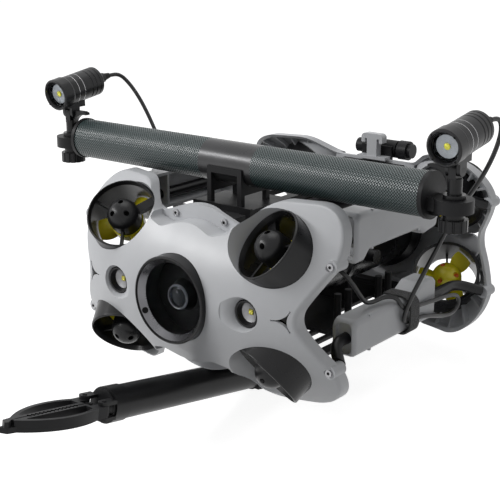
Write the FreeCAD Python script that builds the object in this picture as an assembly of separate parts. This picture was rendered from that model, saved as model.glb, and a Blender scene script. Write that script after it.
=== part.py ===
import FreeCAD, Part
import math
import os

from FreeCAD import Placement, Rotation, Vector

# Eight-thruster underwater inspection vehicle with a light bar and a grabber arm.
# Millimetres. +X is the vehicle's left-hand side seen from ahead, the bow faces -Y, +Z is up.
# The shapes are drawn about the middle of the body; `put` lifts them so that the origin
# is the middle of the payload bolt pattern on the underside of the tray.

os.makedirs("parts", exist_ok=True)

# ---------------------------------------------------------------- driving dimensions
CLEARANCE = 0.3            # seat gap between separate pieces
RUNNING = 0.05             # radial clearance of a shaft in its bore

# bow and stern shells
SHELL_HALF_WIDTH = 134.0
SHELL_HALF_HEIGHT = 82.5
SHELL_NOSE = 170.0         # bow face at the centre, from the middle of the body
SHELL_SAG_X2 = 1.15e-3     # how the bow face falls back sideways (square term)
SHELL_SAG_X4 = 2.2e-8      # and its fourth-power term
SHELL_SAG_Z2 = 6.7e-3      # how it falls back up and down
SHELL_WALL = 3.0
SHELL_SKIRT = 12.0         # depth of the moulded edge
SHELL_EDGE_R = 4.0
WAIST_X = 108.5            # side notch between the upper and lower lobes
WAIST_R = 20.0
LOBE_R = 34.0
LOBE_TOP_X = 68.0
VALLEY_Z = 60.0            # lowest point of the top edge, between a lobe and the arch
VALLEY_X = 41.0
VALLEY_R = 7.0
LOBE_SHOULDER_R = 26.0
ARCH_Z = 74.9              # arched top edge above the camera
ARCH_R = 60.0
STERN_TOP_X = 44.0         # flat top of the stern shell
STERN_TOP_Z = 66.5
LEDGE_Y = 131.0            # screw ledge cut back behind the arch
LEDGE_WALL = 4.0
LEDGE_HALF = 42.0
LEDGE_CREST_Z = 61.5
LEDGE_DIP_X = 27.0
LEDGE_DIP_Z = 52.5
LEDGE_SCREW_X = 26.0
LEDGE_SCREW_Z = 60.5
EAR_X = 129.6
EAR_Z = 42.7
EAR_R = 5.4
EAR_FACE = 131.2
EAR_BACK = 116.0
SCREW_R = 1.6
SCREW_HEAD_R = 3.0
SCREW_HEAD_T = 1.8
RIB_T = 1.6
RIB_DEPTH = 8.0
RIBS_PER_LOBE = 9
VENT_X = 103.0
VENT_TIP_R = 10.0
VENT_WAIST_R = 2.6
VENT_TIP_W = 1.4

# thruster: local +Z leaves the outer mouth, whose centre is the local origin
DUCT_X = 78.0
DUCT_Y = 143.4
DUCT_Z = 54.6
DUCT_YAW = 25.3
DUCT_PITCH = 39.8
DUCT_OUTER_R = 31.2
DUCT_BORE_R = 28.4
DUCT_LENGTH = 38.0
DUCT_LIP = 1.4
DUCT_COLLAR_DEPTH = 7.0    # shell collar that the duct seats in
STATOR_R = 13.8
STATOR_NOSE = 8.0
STATOR_BACK = 13.0
STATOR_HOLE_R = 2.2
FIN_T = 2.0
FIN_BROAD_T = 8.0
MOTOR_LENGTH = 5.0
SHAFT_R = 1.5
SHAFT_LENGTH = 7.0
PROP_HUB_R = 14.2
PROP_HUB_LENGTH = 8.0
PROP_DOME = 12.0
PROP_BLADE_SEAT = 7.0
PROP_TIP_R = 27.6
PROP_BLADES = 3
PROP_HOLE_R = 2.5
PROP_REST = {"bow_upper_right": -40.0, "stern_lower_left": 40.0, "bow_upper_left": 25.0}

# camera port and headlamps
PORT_R = 36.5
PORT_FACE = 173.0
PORT_LIP = 0.8
PORT_GLASS_R = 32.0
PORT_GLASS_T = 3.0
PORT_RECESS = 6.5
LENS_R = 10.5
LAMP_X = 69.5
LAMP_R = 11.5
LAMP_SUNK = 5.5            # barrel face behind the shell's face
LAMP_FLARE_R = 17.5        # flared recess in the shell
LAMP_DISH_R = 8.6
LAMP_DISH = 5.0
LAMP_DEPTH = 12.0
LAMP_LENS_T = 2.0

# pressure hull, rails and tray
HULL_R = 41.0
HULL_HALF = 146.0
HULL_FLANGE_R = 46.0
HULL_FLANGE_T = 6.0
HULL_RIB_R = 43.0
HULL_KNOB_Y = 41.0
HULL_KNOB_R = 5.5
HULL_KNOB_OUT = 20.0
HULL_GLAND_X = 48.0
LEFT_GLAND_Y = -66.0
LEFT_GLAND_Z = 20.0
RIGHT_GLAND_Y = -22.0
RIGHT_GLAND_Z = 10.0
RAIL_HALF_WIDTH = 19.0
RAIL_END_HALF = 34.0
RAIL_HALF_LENGTH = 126.7
RAIL_WINDOW = 20.0
RAIL_Z0 = 56.0
RAIL_T = 5.0
RAIL_END = 12.0
SADDLE_Y = 62.0
SADDLE_T = 7.0
TRAY_HALF_WIDTH = 80.0
TRAY_HALF_SPAN = 98.0
TRAY_T = 3.0
TRAY_UNDER = 62.0          # underside of the tray, below the middle of the body
TRAY_SLOT_W = 11.0
TRAY_SLOT_PITCH = 16.0
TRAY_SLOT_Y0 = 22.0
TRAY_SLOT_Y1 = 90.0
POST_R = 3.2
POST_X = 74.0
POST_Y = 32.0
POST_HALF_PITCH = 8.0
POST_HEIGHT = 45.0
PAYLOAD_X = 100.0          # payload bolt pattern spacings
PAYLOAD_Y = 24.0
PAYLOAD_HOLE_R = 2.1

# frame tubes and side beams
FRAME_TUBE_R = 4.8
FRAME_X = 111.0
FRAME_UPPER_Z = 50.0
FRAME_LOWER_Z = -33.0
FRAME_BEND_Y = 98.0
FRAME_END_Y = 124.0
FRAME_END_X = 118.0
FRAME_END_Z = 41.0
BEAM_X0 = 101.0
BEAM_X1 = 121.5
BEAM_Y0 = -86.0
BEAM_Y1 = 45.0
BEAM_WALL = 2.6
BEAM_HEIGHT = 41.0
BEAM_SLIM = 33.0
BEAM_STEP_Y = -64.0
BEAM_TAIL_Y = 12.0
BEAM_UPPER_Z = 31.0
BEAM_LOWER_Z = -48.0
BEAM_EDGE_R = 5.0
BEAM_END_DEPTH = 4.5       # recess in the beam's forward end
STRAP_Y = -2.0
STRAP_W = 14.0
STRAP_T = 1.6
STRAP_SLACK = 0.8

# light bar
BAR_Y = -81.0
BAR_Z = 97.0
BAR_R = 17.5
BAR_WALL = 1.5
BAR_HALF = 182.0
SLEEVE_X = -3.0
SLEEVE_HALF = 28.0
SPIGOT = 18.0
CRADLE_X = -1.0
CRADLE_HALF = 18.5
CRADLE_POST = 4.5
CRADLE_HALF_DEPTH = 19.0
CRADLE_BASE_HALF = 31.0
CRADLE_BASE_T = 4.0
CRADLE_BAR = 5.5
CAP_T = 3.6
CAP_R = 18.4
POST_OUT = 203.0           # light post, from the middle
RING_R = 14.8
RING_T = 10.0
LIGHT_POST_R = 5.5
POST_FLANGE_R = 8.5
THUMB_R = 11.0
THUMB_T = 9.0
THUMB_NECK_R = 8.0
THUMB_GAP = 5.0
THUMB_STEM_R = 3.0
PIVOT_Z = 119.0
PIVOT_R = 5.0
PIVOT_PIN_R = 2.0
TONGUE_T = 6.0
WING_REACH = 22.0          # arm of the light post that reaches in over the bar
WING_R = 14.0
EAR_T = 3.0
FLOOD_R = 14.5
FLOOD_AXIS_UP = 21.0       # lamp axis above its pivot
FLOOD_FRONT = 19.5
FLOOD_BACK = 34.0
FLOOD_PITCH = 9.0
FLOOD_DISH = 6.0
FLOOD_DISH_R = 11.5
FLOOD_GROOVE = 0.8
GLAND_R = 4.6
GLAND_LENGTH = 9.0
CABLE_R = 1.9
STRAP_OUT_X = BEAM_X1 + CABLE_R + 0.3   # cable run between the beam and the strap

# tow hook and tether socket on the stern shell
HOOK_STEM = 11.0
HOOK_HEAD = 24.0
HOOK_HEIGHT = 22.0
HOOK_BASE = 32.0
HOOK_BASE_T = 3.0
HOOK_DEPTH = 8.0
SOCKET_R = 8.5
SOCKET_LENGTH = 62.0
SOCKET_Z = 75.0

# grabber arm, drawn along local -Y from the front face of its housing
ARM_Y = -248.9
ARM_Z = -64.2
ARM_PITCH = 10.0
ARM_R = 13.6
ARM_LENGTH = 184.0
ARM_BLOCK = 30.0
ARM_BLOCK_HALF = 11.0
ARM_COLLAR_R = 14.5
ARM_COLLAR = 17.0
JAW_PIVOT_X = 10.5
JAW_PIVOT_Y = -9.0
JAW_PIN_R = 1.8
JAW_EYE_R = 4.4
JAW_HEIGHT = 9.0
JAW_LENGTH = 92.0
JAW_BULGE = 18.0
JAW_WALL = 3.2
JAW_TOOTH = 2.0
JAW_TEETH = 13
LUG_T = 2.6
ROD_R = 2.6
CROSSHEAD_HALF = 5.0


# ---------------------------------------------------------------- helpers
def box(x0, x1, y0, y1, z0, z1):
    return Part.makeBox(x1 - x0, y1 - y0, z1 - z0, Vector(x0, y0, z0))


def rod(radius, start, end):
    run = end - start
    return Part.makeCylinder(radius, run.Length, start, run)


def turned(profile, axis_point=Vector(0, 0, 0), axis=Vector(0, 0, 1)):
    """Solid of revolution of a closed list of points, some given as (mid, end) arcs."""
    edges = []
    here = profile[0]
    for step in profile[1:] + [profile[0]]:
        if isinstance(step, tuple):
            edges.append(Part.Arc(here, step[0], step[1]).toShape())
            here = step[1]
        else:
            edges.append(Part.LineSegment(here, step).toShape())
            here = step
    return Part.Face(Part.Wire(edges)).revolve(axis_point, axis, 360)


def rounded_wire(corners, place):
    """Closed wire through (u, v, radius) corners; `place` maps u, v to a point."""
    count = len(corners)
    starts, middles, ends = [], [], []
    for index, (u, v, radius) in enumerate(corners):
        here = Vector(u, v, 0)
        before = Vector(*corners[index - 1][:2], 0) - here
        after = Vector(*corners[(index + 1) % count][:2], 0) - here
        before.normalize()
        after.normalize()
        half = before.getAngle(after) / 2
        reach = radius / math.tan(half)
        inward = before + after
        inward.normalize()
        starts.append(here + before * reach)
        ends.append(here + after * reach)
        middles.append(here + inward * (radius / math.sin(half) - radius))
    edges = []
    for index in range(count):
        if corners[index][2] > 0:
            arc = [place(p.x, p.y) for p in (starts[index], middles[index], ends[index])]
            edges.append(Part.Arc(*arc).toShape())
        run = (ends[index], starts[(index + 1) % count])
        if (run[1] - run[0]).Length > 1e-6:
            edges.append(Part.LineSegment(*[place(p.x, p.y) for p in run]).toShape())
    return Part.Wire(edges)


def tube_path(points, radius, report=""):
    """Round bar along straight runs joined by tangent arcs as large as the runs allow."""
    edges = []
    here = points[0]
    radii = []
    for index in range(1, len(points) - 1):
        corner = points[index]
        back = points[index - 1] - corner
        ahead = points[index + 1] - corner
        reach = 0.45 * min(back.Length, ahead.Length)
        back.normalize()
        ahead.normalize()
        half = back.getAngle(ahead) / 2
        bend = reach * math.tan(half)
        radii.append(bend)
        inward = back + ahead
        inward.normalize()
        start = corner + back * reach
        end = corner + ahead * reach
        middle = corner + inward * (bend / math.sin(half) - bend)
        edges.append(Part.LineSegment(here, start).toShape())
        edges.append(Part.Arc(start, middle, end).toShape())
        here = end
    edges.append(Part.LineSegment(here, points[-1]).toShape())
    path = Part.Wire(edges)
    run = points[1] - points[0]
    ring = Part.Wire(Part.makeCircle(radius, points[0], run))
    solid = path.makePipeShell([ring], True, False)
    if report:
        ideal = math.pi * radius ** 2 * path.Length
        print(report, "radii", [round(r, 1) for r in radii],
              "volume / section x length", round(solid.Volume / ideal, 4))
    return solid


def mirrored(shape, flip_x, flip_y, flip_z):
    out = shape.copy()
    for flip, normal in ((flip_x, Vector(1, 0, 0)), (flip_y, Vector(0, 1, 0)),
                         (flip_z, Vector(0, 0, 1))):
        if flip:
            out = out.mirror(Vector(0, 0, 0), normal)
    return out


def put(name, *solids):
    shape = solids[0] if len(solids) == 1 else Part.makeCompound(list(solids))
    lifted = shape.copy()
    lifted.translate(Vector(0, 0, TRAY_UNDER))
    lifted.exportStep("parts/%s.step" % name)


def dome(radius, base, apex):
    """Arc step of a turned profile: a cap from (radius, base) up the axis to its apex."""
    height = apex - base
    ball = (radius ** 2 + height ** 2) / (2 * abs(height))
    centre = apex - math.copysign(ball, height)
    half = math.atan2(radius, abs(base - centre) if abs(height) <= ball else 0) / 2
    middle = Vector(ball * math.sin(half), 0, centre + math.copysign(ball * math.cos(half), height))
    return middle, Vector(0, 0, apex)


def one(shape):
    """The single solid of a boolean result."""
    return shape.Solids[0] if len(shape.Solids) == 1 else shape


def each_quarter():
    for side in (1, -1):
        for height in (1, -1):
            yield side, height


# ---------------------------------------------------------------- bow and stern shells
def bow_face_y(x, z):
    sag = SHELL_SAG_X2 * x ** 2 + SHELL_SAG_X4 * x ** 4 + SHELL_SAG_Z2 * z ** 2
    return sag - SHELL_NOSE


def bow_slab(shift, depth):
    """Everything between the bow face moved back by `shift` and `depth` behind that."""
    columns = 12
    rows = 8
    reach_x = SHELL_HALF_WIDTH + 12
    reach_z = SHELL_HALF_HEIGHT + 12
    grid = []
    for i in range(columns + 1):
        x = reach_x * (2 * i / columns - 1)
        zs = [reach_z * (2 * j / rows - 1) for j in range(rows + 1)]
        grid.append([Vector(x, bow_face_y(x, z) + shift, z) for z in zs])
    surface = Part.BSplineSurface()
    surface.interpolate(grid)
    return surface.toShape().extrude(Vector(0, depth, 0))


def shell_outline(is_bow):
    dip = (VALLEY_X, VALLEY_Z, VALLEY_R) if is_bow else (STERN_TOP_X, STERN_TOP_Z, 22.0)
    quarter = [dip, (LOBE_TOP_X, SHELL_HALF_HEIGHT, LOBE_SHOULDER_R),
               (SHELL_HALF_WIDTH, SHELL_HALF_HEIGHT, LOBE_R), (SHELL_HALF_WIDTH, EAR_Z, 14.0)]
    right = quarter + [(WAIST_X, 0.0, WAIST_R)] + [(u, -v, r) for u, v, r in quarter[::-1]]
    left = [(-u, v, r) for u, v, r in right[::-1]]
    crown = [(0.0, ARCH_Z, ARCH_R)] if is_bow else []
    keel = [(0.0, -ARCH_Z, ARCH_R)] if is_bow else []
    return rounded_wire(crown + right + keel + left, lambda u, v: Vector(u, -200, v))


def prism(wire, y0, y1):
    face = Part.Face(wire)
    face.translate(Vector(0, y0 + 200, 0))
    return face.extrude(Vector(0, y1 - y0, 0))


def ledge_zone(growth, y0, y1):
    """Crescents above and below the camera, from the ledge's wavy inner edge outwards."""
    far = 1.3 * SHELL_HALF_HEIGHT
    half = [(LEDGE_HALF, far, 0), (LEDGE_HALF, LEDGE_DIP_Z + 4, 3.0), (LEDGE_DIP_X, LEDGE_DIP_Z, 12.0)]
    corners = half + [(0, LEDGE_CREST_Z, 45.0)] + [(-u, v, r) for u, v, r in half[::-1]]
    wire = rounded_wire(corners, lambda u, v: Vector(u, y0, v))
    if growth:
        wire = wire.makeOffset2D(growth)
    upper = Part.Face(wire).extrude(Vector(0, y1 - y0, 0))
    return upper.fuse(mirrored(upper, False, False, True))


def duct_direction():
    yaw = math.radians(DUCT_YAW)
    pitch = math.radians(DUCT_PITCH)
    return Vector(-math.sin(yaw) * math.cos(pitch), -math.cos(yaw) * math.cos(pitch),
                  math.sin(pitch))


def duct_placement():
    return Placement(Vector(DUCT_X, -DUCT_Y, DUCT_Z),
                     Rotation(Vector(0, 0, 1), duct_direction()))


def duct_zone(radius, ahead, behind):
    zone = Part.makeCylinder(radius, ahead + behind, Vector(0, 0, -behind))
    zone.Placement = duct_placement()
    return zone


def vent(side):
    """Three-pointed slot with hollow sides, one point towards the middle."""
    def spot(radius, angle, shift):
        turn = math.radians(angle)
        return Vector(radius * math.cos(turn) - shift * math.sin(turn), -190,
                      radius * math.sin(turn) + shift * math.cos(turn))

    edges = []
    for index in range(3):
        angle = 60 + 120 * index
        tips = [spot(VENT_TIP_R, angle, shift) for shift in (-VENT_TIP_W / 2, VENT_TIP_W / 2)]
        after = spot(VENT_TIP_R, angle + 120, -VENT_TIP_W / 2)
        edges.append(Part.LineSegment(*tips).toShape())
        edges.append(Part.Arc(tips[1], spot(VENT_WAIST_R, angle + 60, 0), after).toShape())
    star = Part.Face(Part.Wire(edges)).extrude(Vector(0, 70, 0))
    star = mirrored(star, side < 0, False, False)
    star.translate(Vector(side * VENT_X, 0, 0))
    return [star]


def lamp_recess(side, growth):
    """Flared recess that a headlamp's barrel sits at the bottom of."""
    face = bow_face_y(LAMP_X, 0)
    floor = face + LAMP_SUNK
    inner = LAMP_R + CLEARANCE + growth
    outer = LAMP_FLARE_R + growth
    middle = Vector(inner + 0.28 * (outer - inner), face + 0.42 * LAMP_SUNK, 0)
    flare = turned([Vector(0, face - 12, 0), Vector(outer + 6, face - 12, 0),
                    Vector(outer + 3, face - 2.5, 0), (middle, Vector(inner, floor, 0)),
                    Vector(inner, floor + LAMP_DEPTH, 0), Vector(0, floor + LAMP_DEPTH, 0)],
                   axis=Vector(0, 1, 0))
    flare.translate(Vector(side * LAMP_X, 0, 0))
    return flare


def shell(is_bow):
    outline = shell_outline(is_bow)
    whole = prism(outline, -200, -60)
    plate = whole.common(bow_slab(0, SHELL_SKIRT))
    front_edges = []
    for edge in plate.Edges:
        middle = edge.valueAt((edge.FirstParameter + edge.LastParameter) / 2)
        if abs(middle.y - bow_face_y(middle.x, middle.z)) < 0.2:
            front_edges.append(edge)
    plate = plate.makeFillet(SHELL_EDGE_R, front_edges)
    inner = outline.makeOffset2D(-SHELL_WALL)
    pocket = prism(inner, -200, -60).common(bow_slab(SHELL_WALL, SHELL_SKIRT))
    body = plate.cut(pocket)

    # ribs that stiffen the lobes from inside
    ribs = []
    for side, height in each_quarter():
        for index in range(RIBS_PER_LOBE):
            angle = -55 + 200 * index / (RIBS_PER_LOBE - 1)
            rib = box(0, 70, -200, -60, -RIB_T / 2, RIB_T / 2)
            rib.rotate(Vector(0, 0, 0), Vector(0, 1, 0), -angle)
            rib.translate(Vector(SHELL_HALF_WIDTH - LOBE_R - 10, 0, EAR_Z))
            ribs.append(mirrored(rib, side < 0, False, height < 0))
    rib_room = prism(outline.makeOffset2D(-SHELL_WALL / 2), -200, -60)
    rib_room = rib_room.common(bow_slab(SHELL_WALL / 2, RIB_DEPTH + SHELL_WALL / 2))
    web = rib_room.common(ribs[0].multiFuse(ribs[1:]))

    # ledges, duct collars and ears
    added = [web, ledge_zone(SHELL_WALL, -200, LEDGE_WALL - LEDGE_Y).common(
        whole.common(bow_slab(SHELL_WALL / 2, 60)))]
    collar_room = prism(outline, -200, -60).common(bow_slab(SHELL_WALL / 2, 60))
    if is_bow:
        added += [lamp_recess(side, SHELL_WALL - 1).common(
            prism(outline, -200, bow_face_y(LAMP_X, 0) + LAMP_SUNK + SHELL_SKIRT / 2)).common(
            bow_slab(SHELL_WALL / 2, 60)) for side in (1, -1)]
    collar = duct_zone(DUCT_OUTER_R + CLEARANCE + SHELL_WALL, 30, DUCT_COLLAR_DEPTH)
    collar = collar.common(collar_room)
    aperture = duct_zone(DUCT_OUTER_R + CLEARANCE, 60, 60)
    cuts = [ledge_zone(0, -220, -LEDGE_Y)]
    for side, height in each_quarter():
        added.append(mirrored(collar, side < 0, False, height < 0))
        cuts.append(mirrored(aperture, side < 0, False, height < 0))
        ear = rod(EAR_R, Vector(side * EAR_X, -EAR_FACE, height * EAR_Z),
                  Vector(side * EAR_X, -EAR_BACK, height * EAR_Z))
        added.append(ear)
    body = body.multiFuse(added)
    port = rod(PORT_R + CLEARANCE, Vector(0, -220, 0), Vector(0, -60, 0))
    cuts.append(port)
    for side, height in each_quarter():
        hole = Vector(side * LEDGE_SCREW_X, -200, height * LEDGE_SCREW_Z)
        cuts.append(rod(SCREW_R + CLEARANCE, hole, hole + Vector(0, 100, 0)))
        ear_hole = Vector(side * EAR_X, -200, height * EAR_Z)
        cuts.append(rod(SCREW_HEAD_R + CLEARANCE, ear_hole, ear_hole + Vector(0, 200 - EAR_FACE, 0)))
        cuts.append(rod(SCREW_R, ear_hole, ear_hole + Vector(0, 200 - EAR_FACE + 9, 0)))
    for side in (1, -1):
        cuts += vent(side)
        if is_bow:
            cuts.append(lamp_recess(side, 0.0))
    return body.cut(cuts)


def shell_screws():
    screws = []
    for flip in (False, True):
        for side, height in each_quarter():
            for x, z, face, reach in (
                    (LEDGE_SCREW_X, LEDGE_SCREW_Z, LEDGE_Y, 10.0),
                    (EAR_X, EAR_Z, EAR_FACE, 8.0)):
                seat = Vector(side * x, -face, height * z)
                head = rod(SCREW_HEAD_R, seat - Vector(0, SCREW_HEAD_T, 0), seat)
                stem_r = SCREW_R - RUNNING
                stem = rod(stem_r, seat, seat + Vector(0, reach, 0))
                screws.append(mirrored(head.fuse(stem), False, flip, False))
    return screws


# ---------------------------------------------------------------- thrusters
def thruster_duct():
    lip = DUCT_LIP
    wall = turned([Vector(DUCT_BORE_R, 0, -DUCT_LENGTH),
                   Vector(DUCT_OUTER_R, 0, -DUCT_LENGTH),
                   Vector(DUCT_OUTER_R, 0, -lip),
                   (Vector(DUCT_OUTER_R - 0.3 * lip, 0, -0.3 * lip),
                    Vector(DUCT_OUTER_R - lip, 0, 0)),
                   Vector(DUCT_BORE_R, 0, -3 * lip)])
    hub = turned([Vector(0, 0, -STATOR_BACK), Vector(STATOR_R, 0, -STATOR_BACK),
                  Vector(STATOR_R, 0, -0.5 * STATOR_NOSE),
                  dome(STATOR_R, -0.5 * STATOR_NOSE, STATOR_NOSE)])
    parts = [hub]
    for index, thickness in enumerate((FIN_T, FIN_BROAD_T, FIN_T)):
        fin = box(STATOR_R - 3, DUCT_BORE_R + 1, -thickness / 2, thickness / 2,
                  -STATOR_BACK + 1, -0.9 * STATOR_NOSE)
        fin.rotate(Vector(0, 0, 0), Vector(0, 0, 1), 120 * index)
        parts.append(fin)
    duct = wall.multiFuse(parts)
    for index in range(3):
        angle = math.radians(60 + 120 * index)
        foot = Vector(0.52 * STATOR_R * math.cos(angle), 0.52 * STATOR_R * math.sin(angle), 0)
        duct = duct.cut(rod(STATOR_HOLE_R, foot, foot + Vector(0, 0, 2 * STATOR_NOSE)))
    return duct


def thruster_motor():
    top = -STATOR_BACK
    can = Part.makeCylinder(STATOR_R - 0.6, MOTOR_LENGTH, Vector(0, 0, top - MOTOR_LENGTH))
    shaft = Part.makeCylinder(SHAFT_R, SHAFT_LENGTH,
                              Vector(0, 0, top - MOTOR_LENGTH - SHAFT_LENGTH))
    return can.fuse(shaft)


def blade_section(radius, chord, pitch, thickness):
    slope = math.radians(pitch)
    along = Vector(0, math.cos(slope), math.sin(slope))
    across = Vector(0, -math.sin(slope), math.cos(slope))
    centre = Vector(radius, 0, 0)
    lead = centre + along * (chord / 2)
    trail = centre - along * (chord / 2)
    upper = Part.Arc(lead, centre + across * (0.5 * thickness + 0.06 * chord), trail)
    lower = Part.Arc(trail, centre + across * (0.06 * chord - 0.5 * thickness), lead)
    return Part.Wire([upper.toShape(), lower.toShape()])


def propeller():
    root = -STATOR_BACK - MOTOR_LENGTH - CLEARANCE
    end = root - PROP_HUB_LENGTH
    hub = turned([Vector(0, 0, root), Vector(PROP_HUB_R, 0, root), Vector(PROP_HUB_R, 0, end),
                  dome(PROP_HUB_R, end, end - PROP_DOME)])
    sections = [blade_section(PROP_HUB_R - 3, 15.0, 48, 2.6),
                blade_section(0.7 * PROP_TIP_R, 19.0, 34, 2.0),
                blade_section(PROP_TIP_R + 1, 15.0, 25, 1.2)]
    blade = Part.makeLoft(sections, True, False)
    blade.translate(Vector(0, 0, root - PROP_BLADE_SEAT))
    sweep = Part.makeCylinder(PROP_TIP_R, 60, Vector(0, 0, -60))
    blade = blade.common(sweep)
    body = [hub]
    for index in range(PROP_BLADES):
        copy = blade.copy()
        copy.rotate(Vector(0, 0, 0), Vector(0, 0, 1), 360 * index / PROP_BLADES)
        body.append(copy)
    whole = body[0].multiFuse(body[1:])
    bore = Part.makeCylinder(SHAFT_R + RUNNING, SHAFT_LENGTH + 1,
                             Vector(0, 0, -STATOR_BACK - MOTOR_LENGTH - SHAFT_LENGTH - 1))
    whole = whole.cut(bore)
    for index in range(3):
        angle = math.radians(60 + 120 * index)
        foot = Vector(0.66 * PROP_HUB_R * math.cos(angle), 0.66 * PROP_HUB_R * math.sin(angle),
                      end - PROP_DOME)
        whole = whole.cut(rod(PROP_HOLE_R, foot, foot + Vector(0, 0, PROP_DOME)))
    return whole


def make_thrusters():
    names = {1: "left", -1: "right"}
    duct, motor, prop = thruster_duct(), thruster_motor(), propeller()
    motors = []
    for solid in (duct, motor, prop):
        solid.Placement = duct_placement()
    for end_name, flip_y in (("bow", False), ("stern", True)):
        for side, height in each_quarter():
            level = "upper" if height > 0 else "lower"
            tail = "%s_%s_%s" % (end_name, level, names[side])
            flips = (side < 0, flip_y, height < 0)
            put("duct_" + tail, mirrored(duct, *flips))
            parked = prop.copy()
            parked.rotate(duct_placement().Base, duct_direction(), PROP_REST.get(tail, 0.0))
            put("propeller_" + tail, mirrored(parked, *flips))
            motors.append(mirrored(motor, *flips))
    put("thruster_motors", *motors)


# ---------------------------------------------------------------- camera and headlamps
def camera_ring():
    back = -HULL_HALF
    glass = -PORT_FACE + PORT_RECESS
    profile = [Vector(PORT_GLASS_R, back, 0), Vector(PORT_R, back, 0),
               Vector(PORT_R, -PORT_FACE + PORT_LIP, 0),
               Vector(PORT_R - PORT_LIP, -PORT_FACE, 0),
               Vector(PORT_R - 2 * PORT_LIP, -PORT_FACE, 0),
               Vector(PORT_R - 2 * PORT_LIP, -PORT_FACE + PORT_LIP, 0),
               Vector(PORT_R - 3 * PORT_LIP, -PORT_FACE + PORT_LIP, 0),
               Vector(PORT_GLASS_R - 2, glass, 0),
               Vector(PORT_GLASS_R - 2, glass + 1.5, 0),
               Vector(PORT_GLASS_R, glass + 1.5, 0)]
    return turned(profile, axis=Vector(0, 1, 0))


def camera_window():
    front = -PORT_FACE + PORT_RECESS + 1.5
    return rod(PORT_GLASS_R - RUNNING, Vector(0, front, 0), Vector(0, front + PORT_GLASS_T, 0))


def camera_module():
    back = -HULL_HALF
    front = -PORT_FACE + PORT_RECESS + 1.5 + PORT_GLASS_T + 1.0
    return turned([Vector(0, back, 0), Vector(PORT_GLASS_R - 1, back, 0),
                   Vector(PORT_GLASS_R - 1, back - 4, 0), Vector(LENS_R + 3, back - 6, 0),
                   Vector(LENS_R, front + 1.5, 0), Vector(LENS_R - 1.5, front, 0),
                   Vector(LENS_R - 4, front + 2, 0), Vector(LENS_R - 6, front + 1.2, 0),
                   Vector(0, front + 1.2, 0)], axis=Vector(0, 1, 0))


def headlamp(side):
    front = bow_face_y(LAMP_X, 0) + LAMP_SUNK
    barrel = turned([Vector(0, front + LAMP_DEPTH, 0), Vector(LAMP_R, front + LAMP_DEPTH, 0),
                     Vector(LAMP_R, front + 0.8, 0), Vector(LAMP_R - 0.8, front, 0),
                     Vector(LAMP_R - 2.0, front, 0),
                     Vector(LAMP_DISH_R, front + LAMP_DISH, 0),
                     Vector(LAMP_DISH_R, front + LAMP_DISH + LAMP_LENS_T, 0),
                     Vector(0, front + LAMP_DISH + LAMP_LENS_T, 0)], axis=Vector(0, 1, 0))
    lens = rod(LAMP_DISH_R - RUNNING, Vector(0, front + LAMP_DISH, 0),
               Vector(0, front + LAMP_DISH + LAMP_LENS_T, 0))
    offset = Vector(side * LAMP_X, 0, 0)
    barrel.translate(offset)
    lens.translate(offset)
    return barrel, lens


# ---------------------------------------------------------------- hull, rail and tray
def pressure_hull():
    profile = [Vector(0, -HULL_HALF, 0)]
    for end in (-1, 1):
        steps = [Vector(HULL_FLANGE_R, end * HULL_HALF, 0),
                 Vector(HULL_FLANGE_R, end * (HULL_HALF - HULL_FLANGE_T), 0),
                 Vector(HULL_R, end * (HULL_HALF - HULL_FLANGE_T - 4), 0)]
        profile += steps if end < 0 else steps[::-1]
        if end < 0:
            for y in (-36.0, 36.0):
                profile += [Vector(HULL_R, y - 6, 0), Vector(HULL_RIB_R, y - 4, 0),
                            Vector(HULL_RIB_R, y + 4, 0), Vector(HULL_R, y + 6, 0)]
    profile.append(Vector(0, HULL_HALF, 0))
    hull = turned(profile, axis=Vector(0, 1, 0))
    knobs = []
    for side, y, z in ((1, LEFT_GLAND_Y, LEFT_GLAND_Z), (-1, RIGHT_GLAND_Y, RIGHT_GLAND_Z)):
        knobs.append(rod(GLAND_R, Vector(side * (HULL_R - 8), y, z), Vector(side * HULL_GLAND_X, y, z)))
    for side in (1, -1):
        start = Vector(side * (HULL_R - 4), HULL_KNOB_Y, -3)
        neck = start + Vector(side * (4 + 0.55 * HULL_KNOB_OUT), 0, 0)
        tip = start + Vector(side * (4 + HULL_KNOB_OUT), 0, 0)
        knobs += [rod(HULL_KNOB_R, start, neck), rod(HULL_KNOB_R + 1.2, neck, tip)]
    return hull.multiFuse(knobs)


def end_port_cap():
    """Round cover in the stern shell's opening, on the hull's after end."""
    front = HULL_HALF
    face = SHELL_NOSE
    grip = []
    cover = turned([Vector(0, front, 0), Vector(PORT_R, front, 0),
                    Vector(PORT_R, face - 2, 0), Vector(PORT_R - 2, face, 0),
                    Vector(PORT_R - 8, face, 0), Vector(PORT_R - 10, face - 4, 0),
                    Vector(0, face - 4, 0)], axis=Vector(0, 1, 0))
    for angle in (0, 90):
        bar = box(-3, 3, face - 5, face + 1, -PORT_R + 9, PORT_R - 9)
        bar.rotate(Vector(0, 0, 0), Vector(0, 1, 0), angle)
        grip.append(bar)
    return cover.multiFuse(grip)


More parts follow.
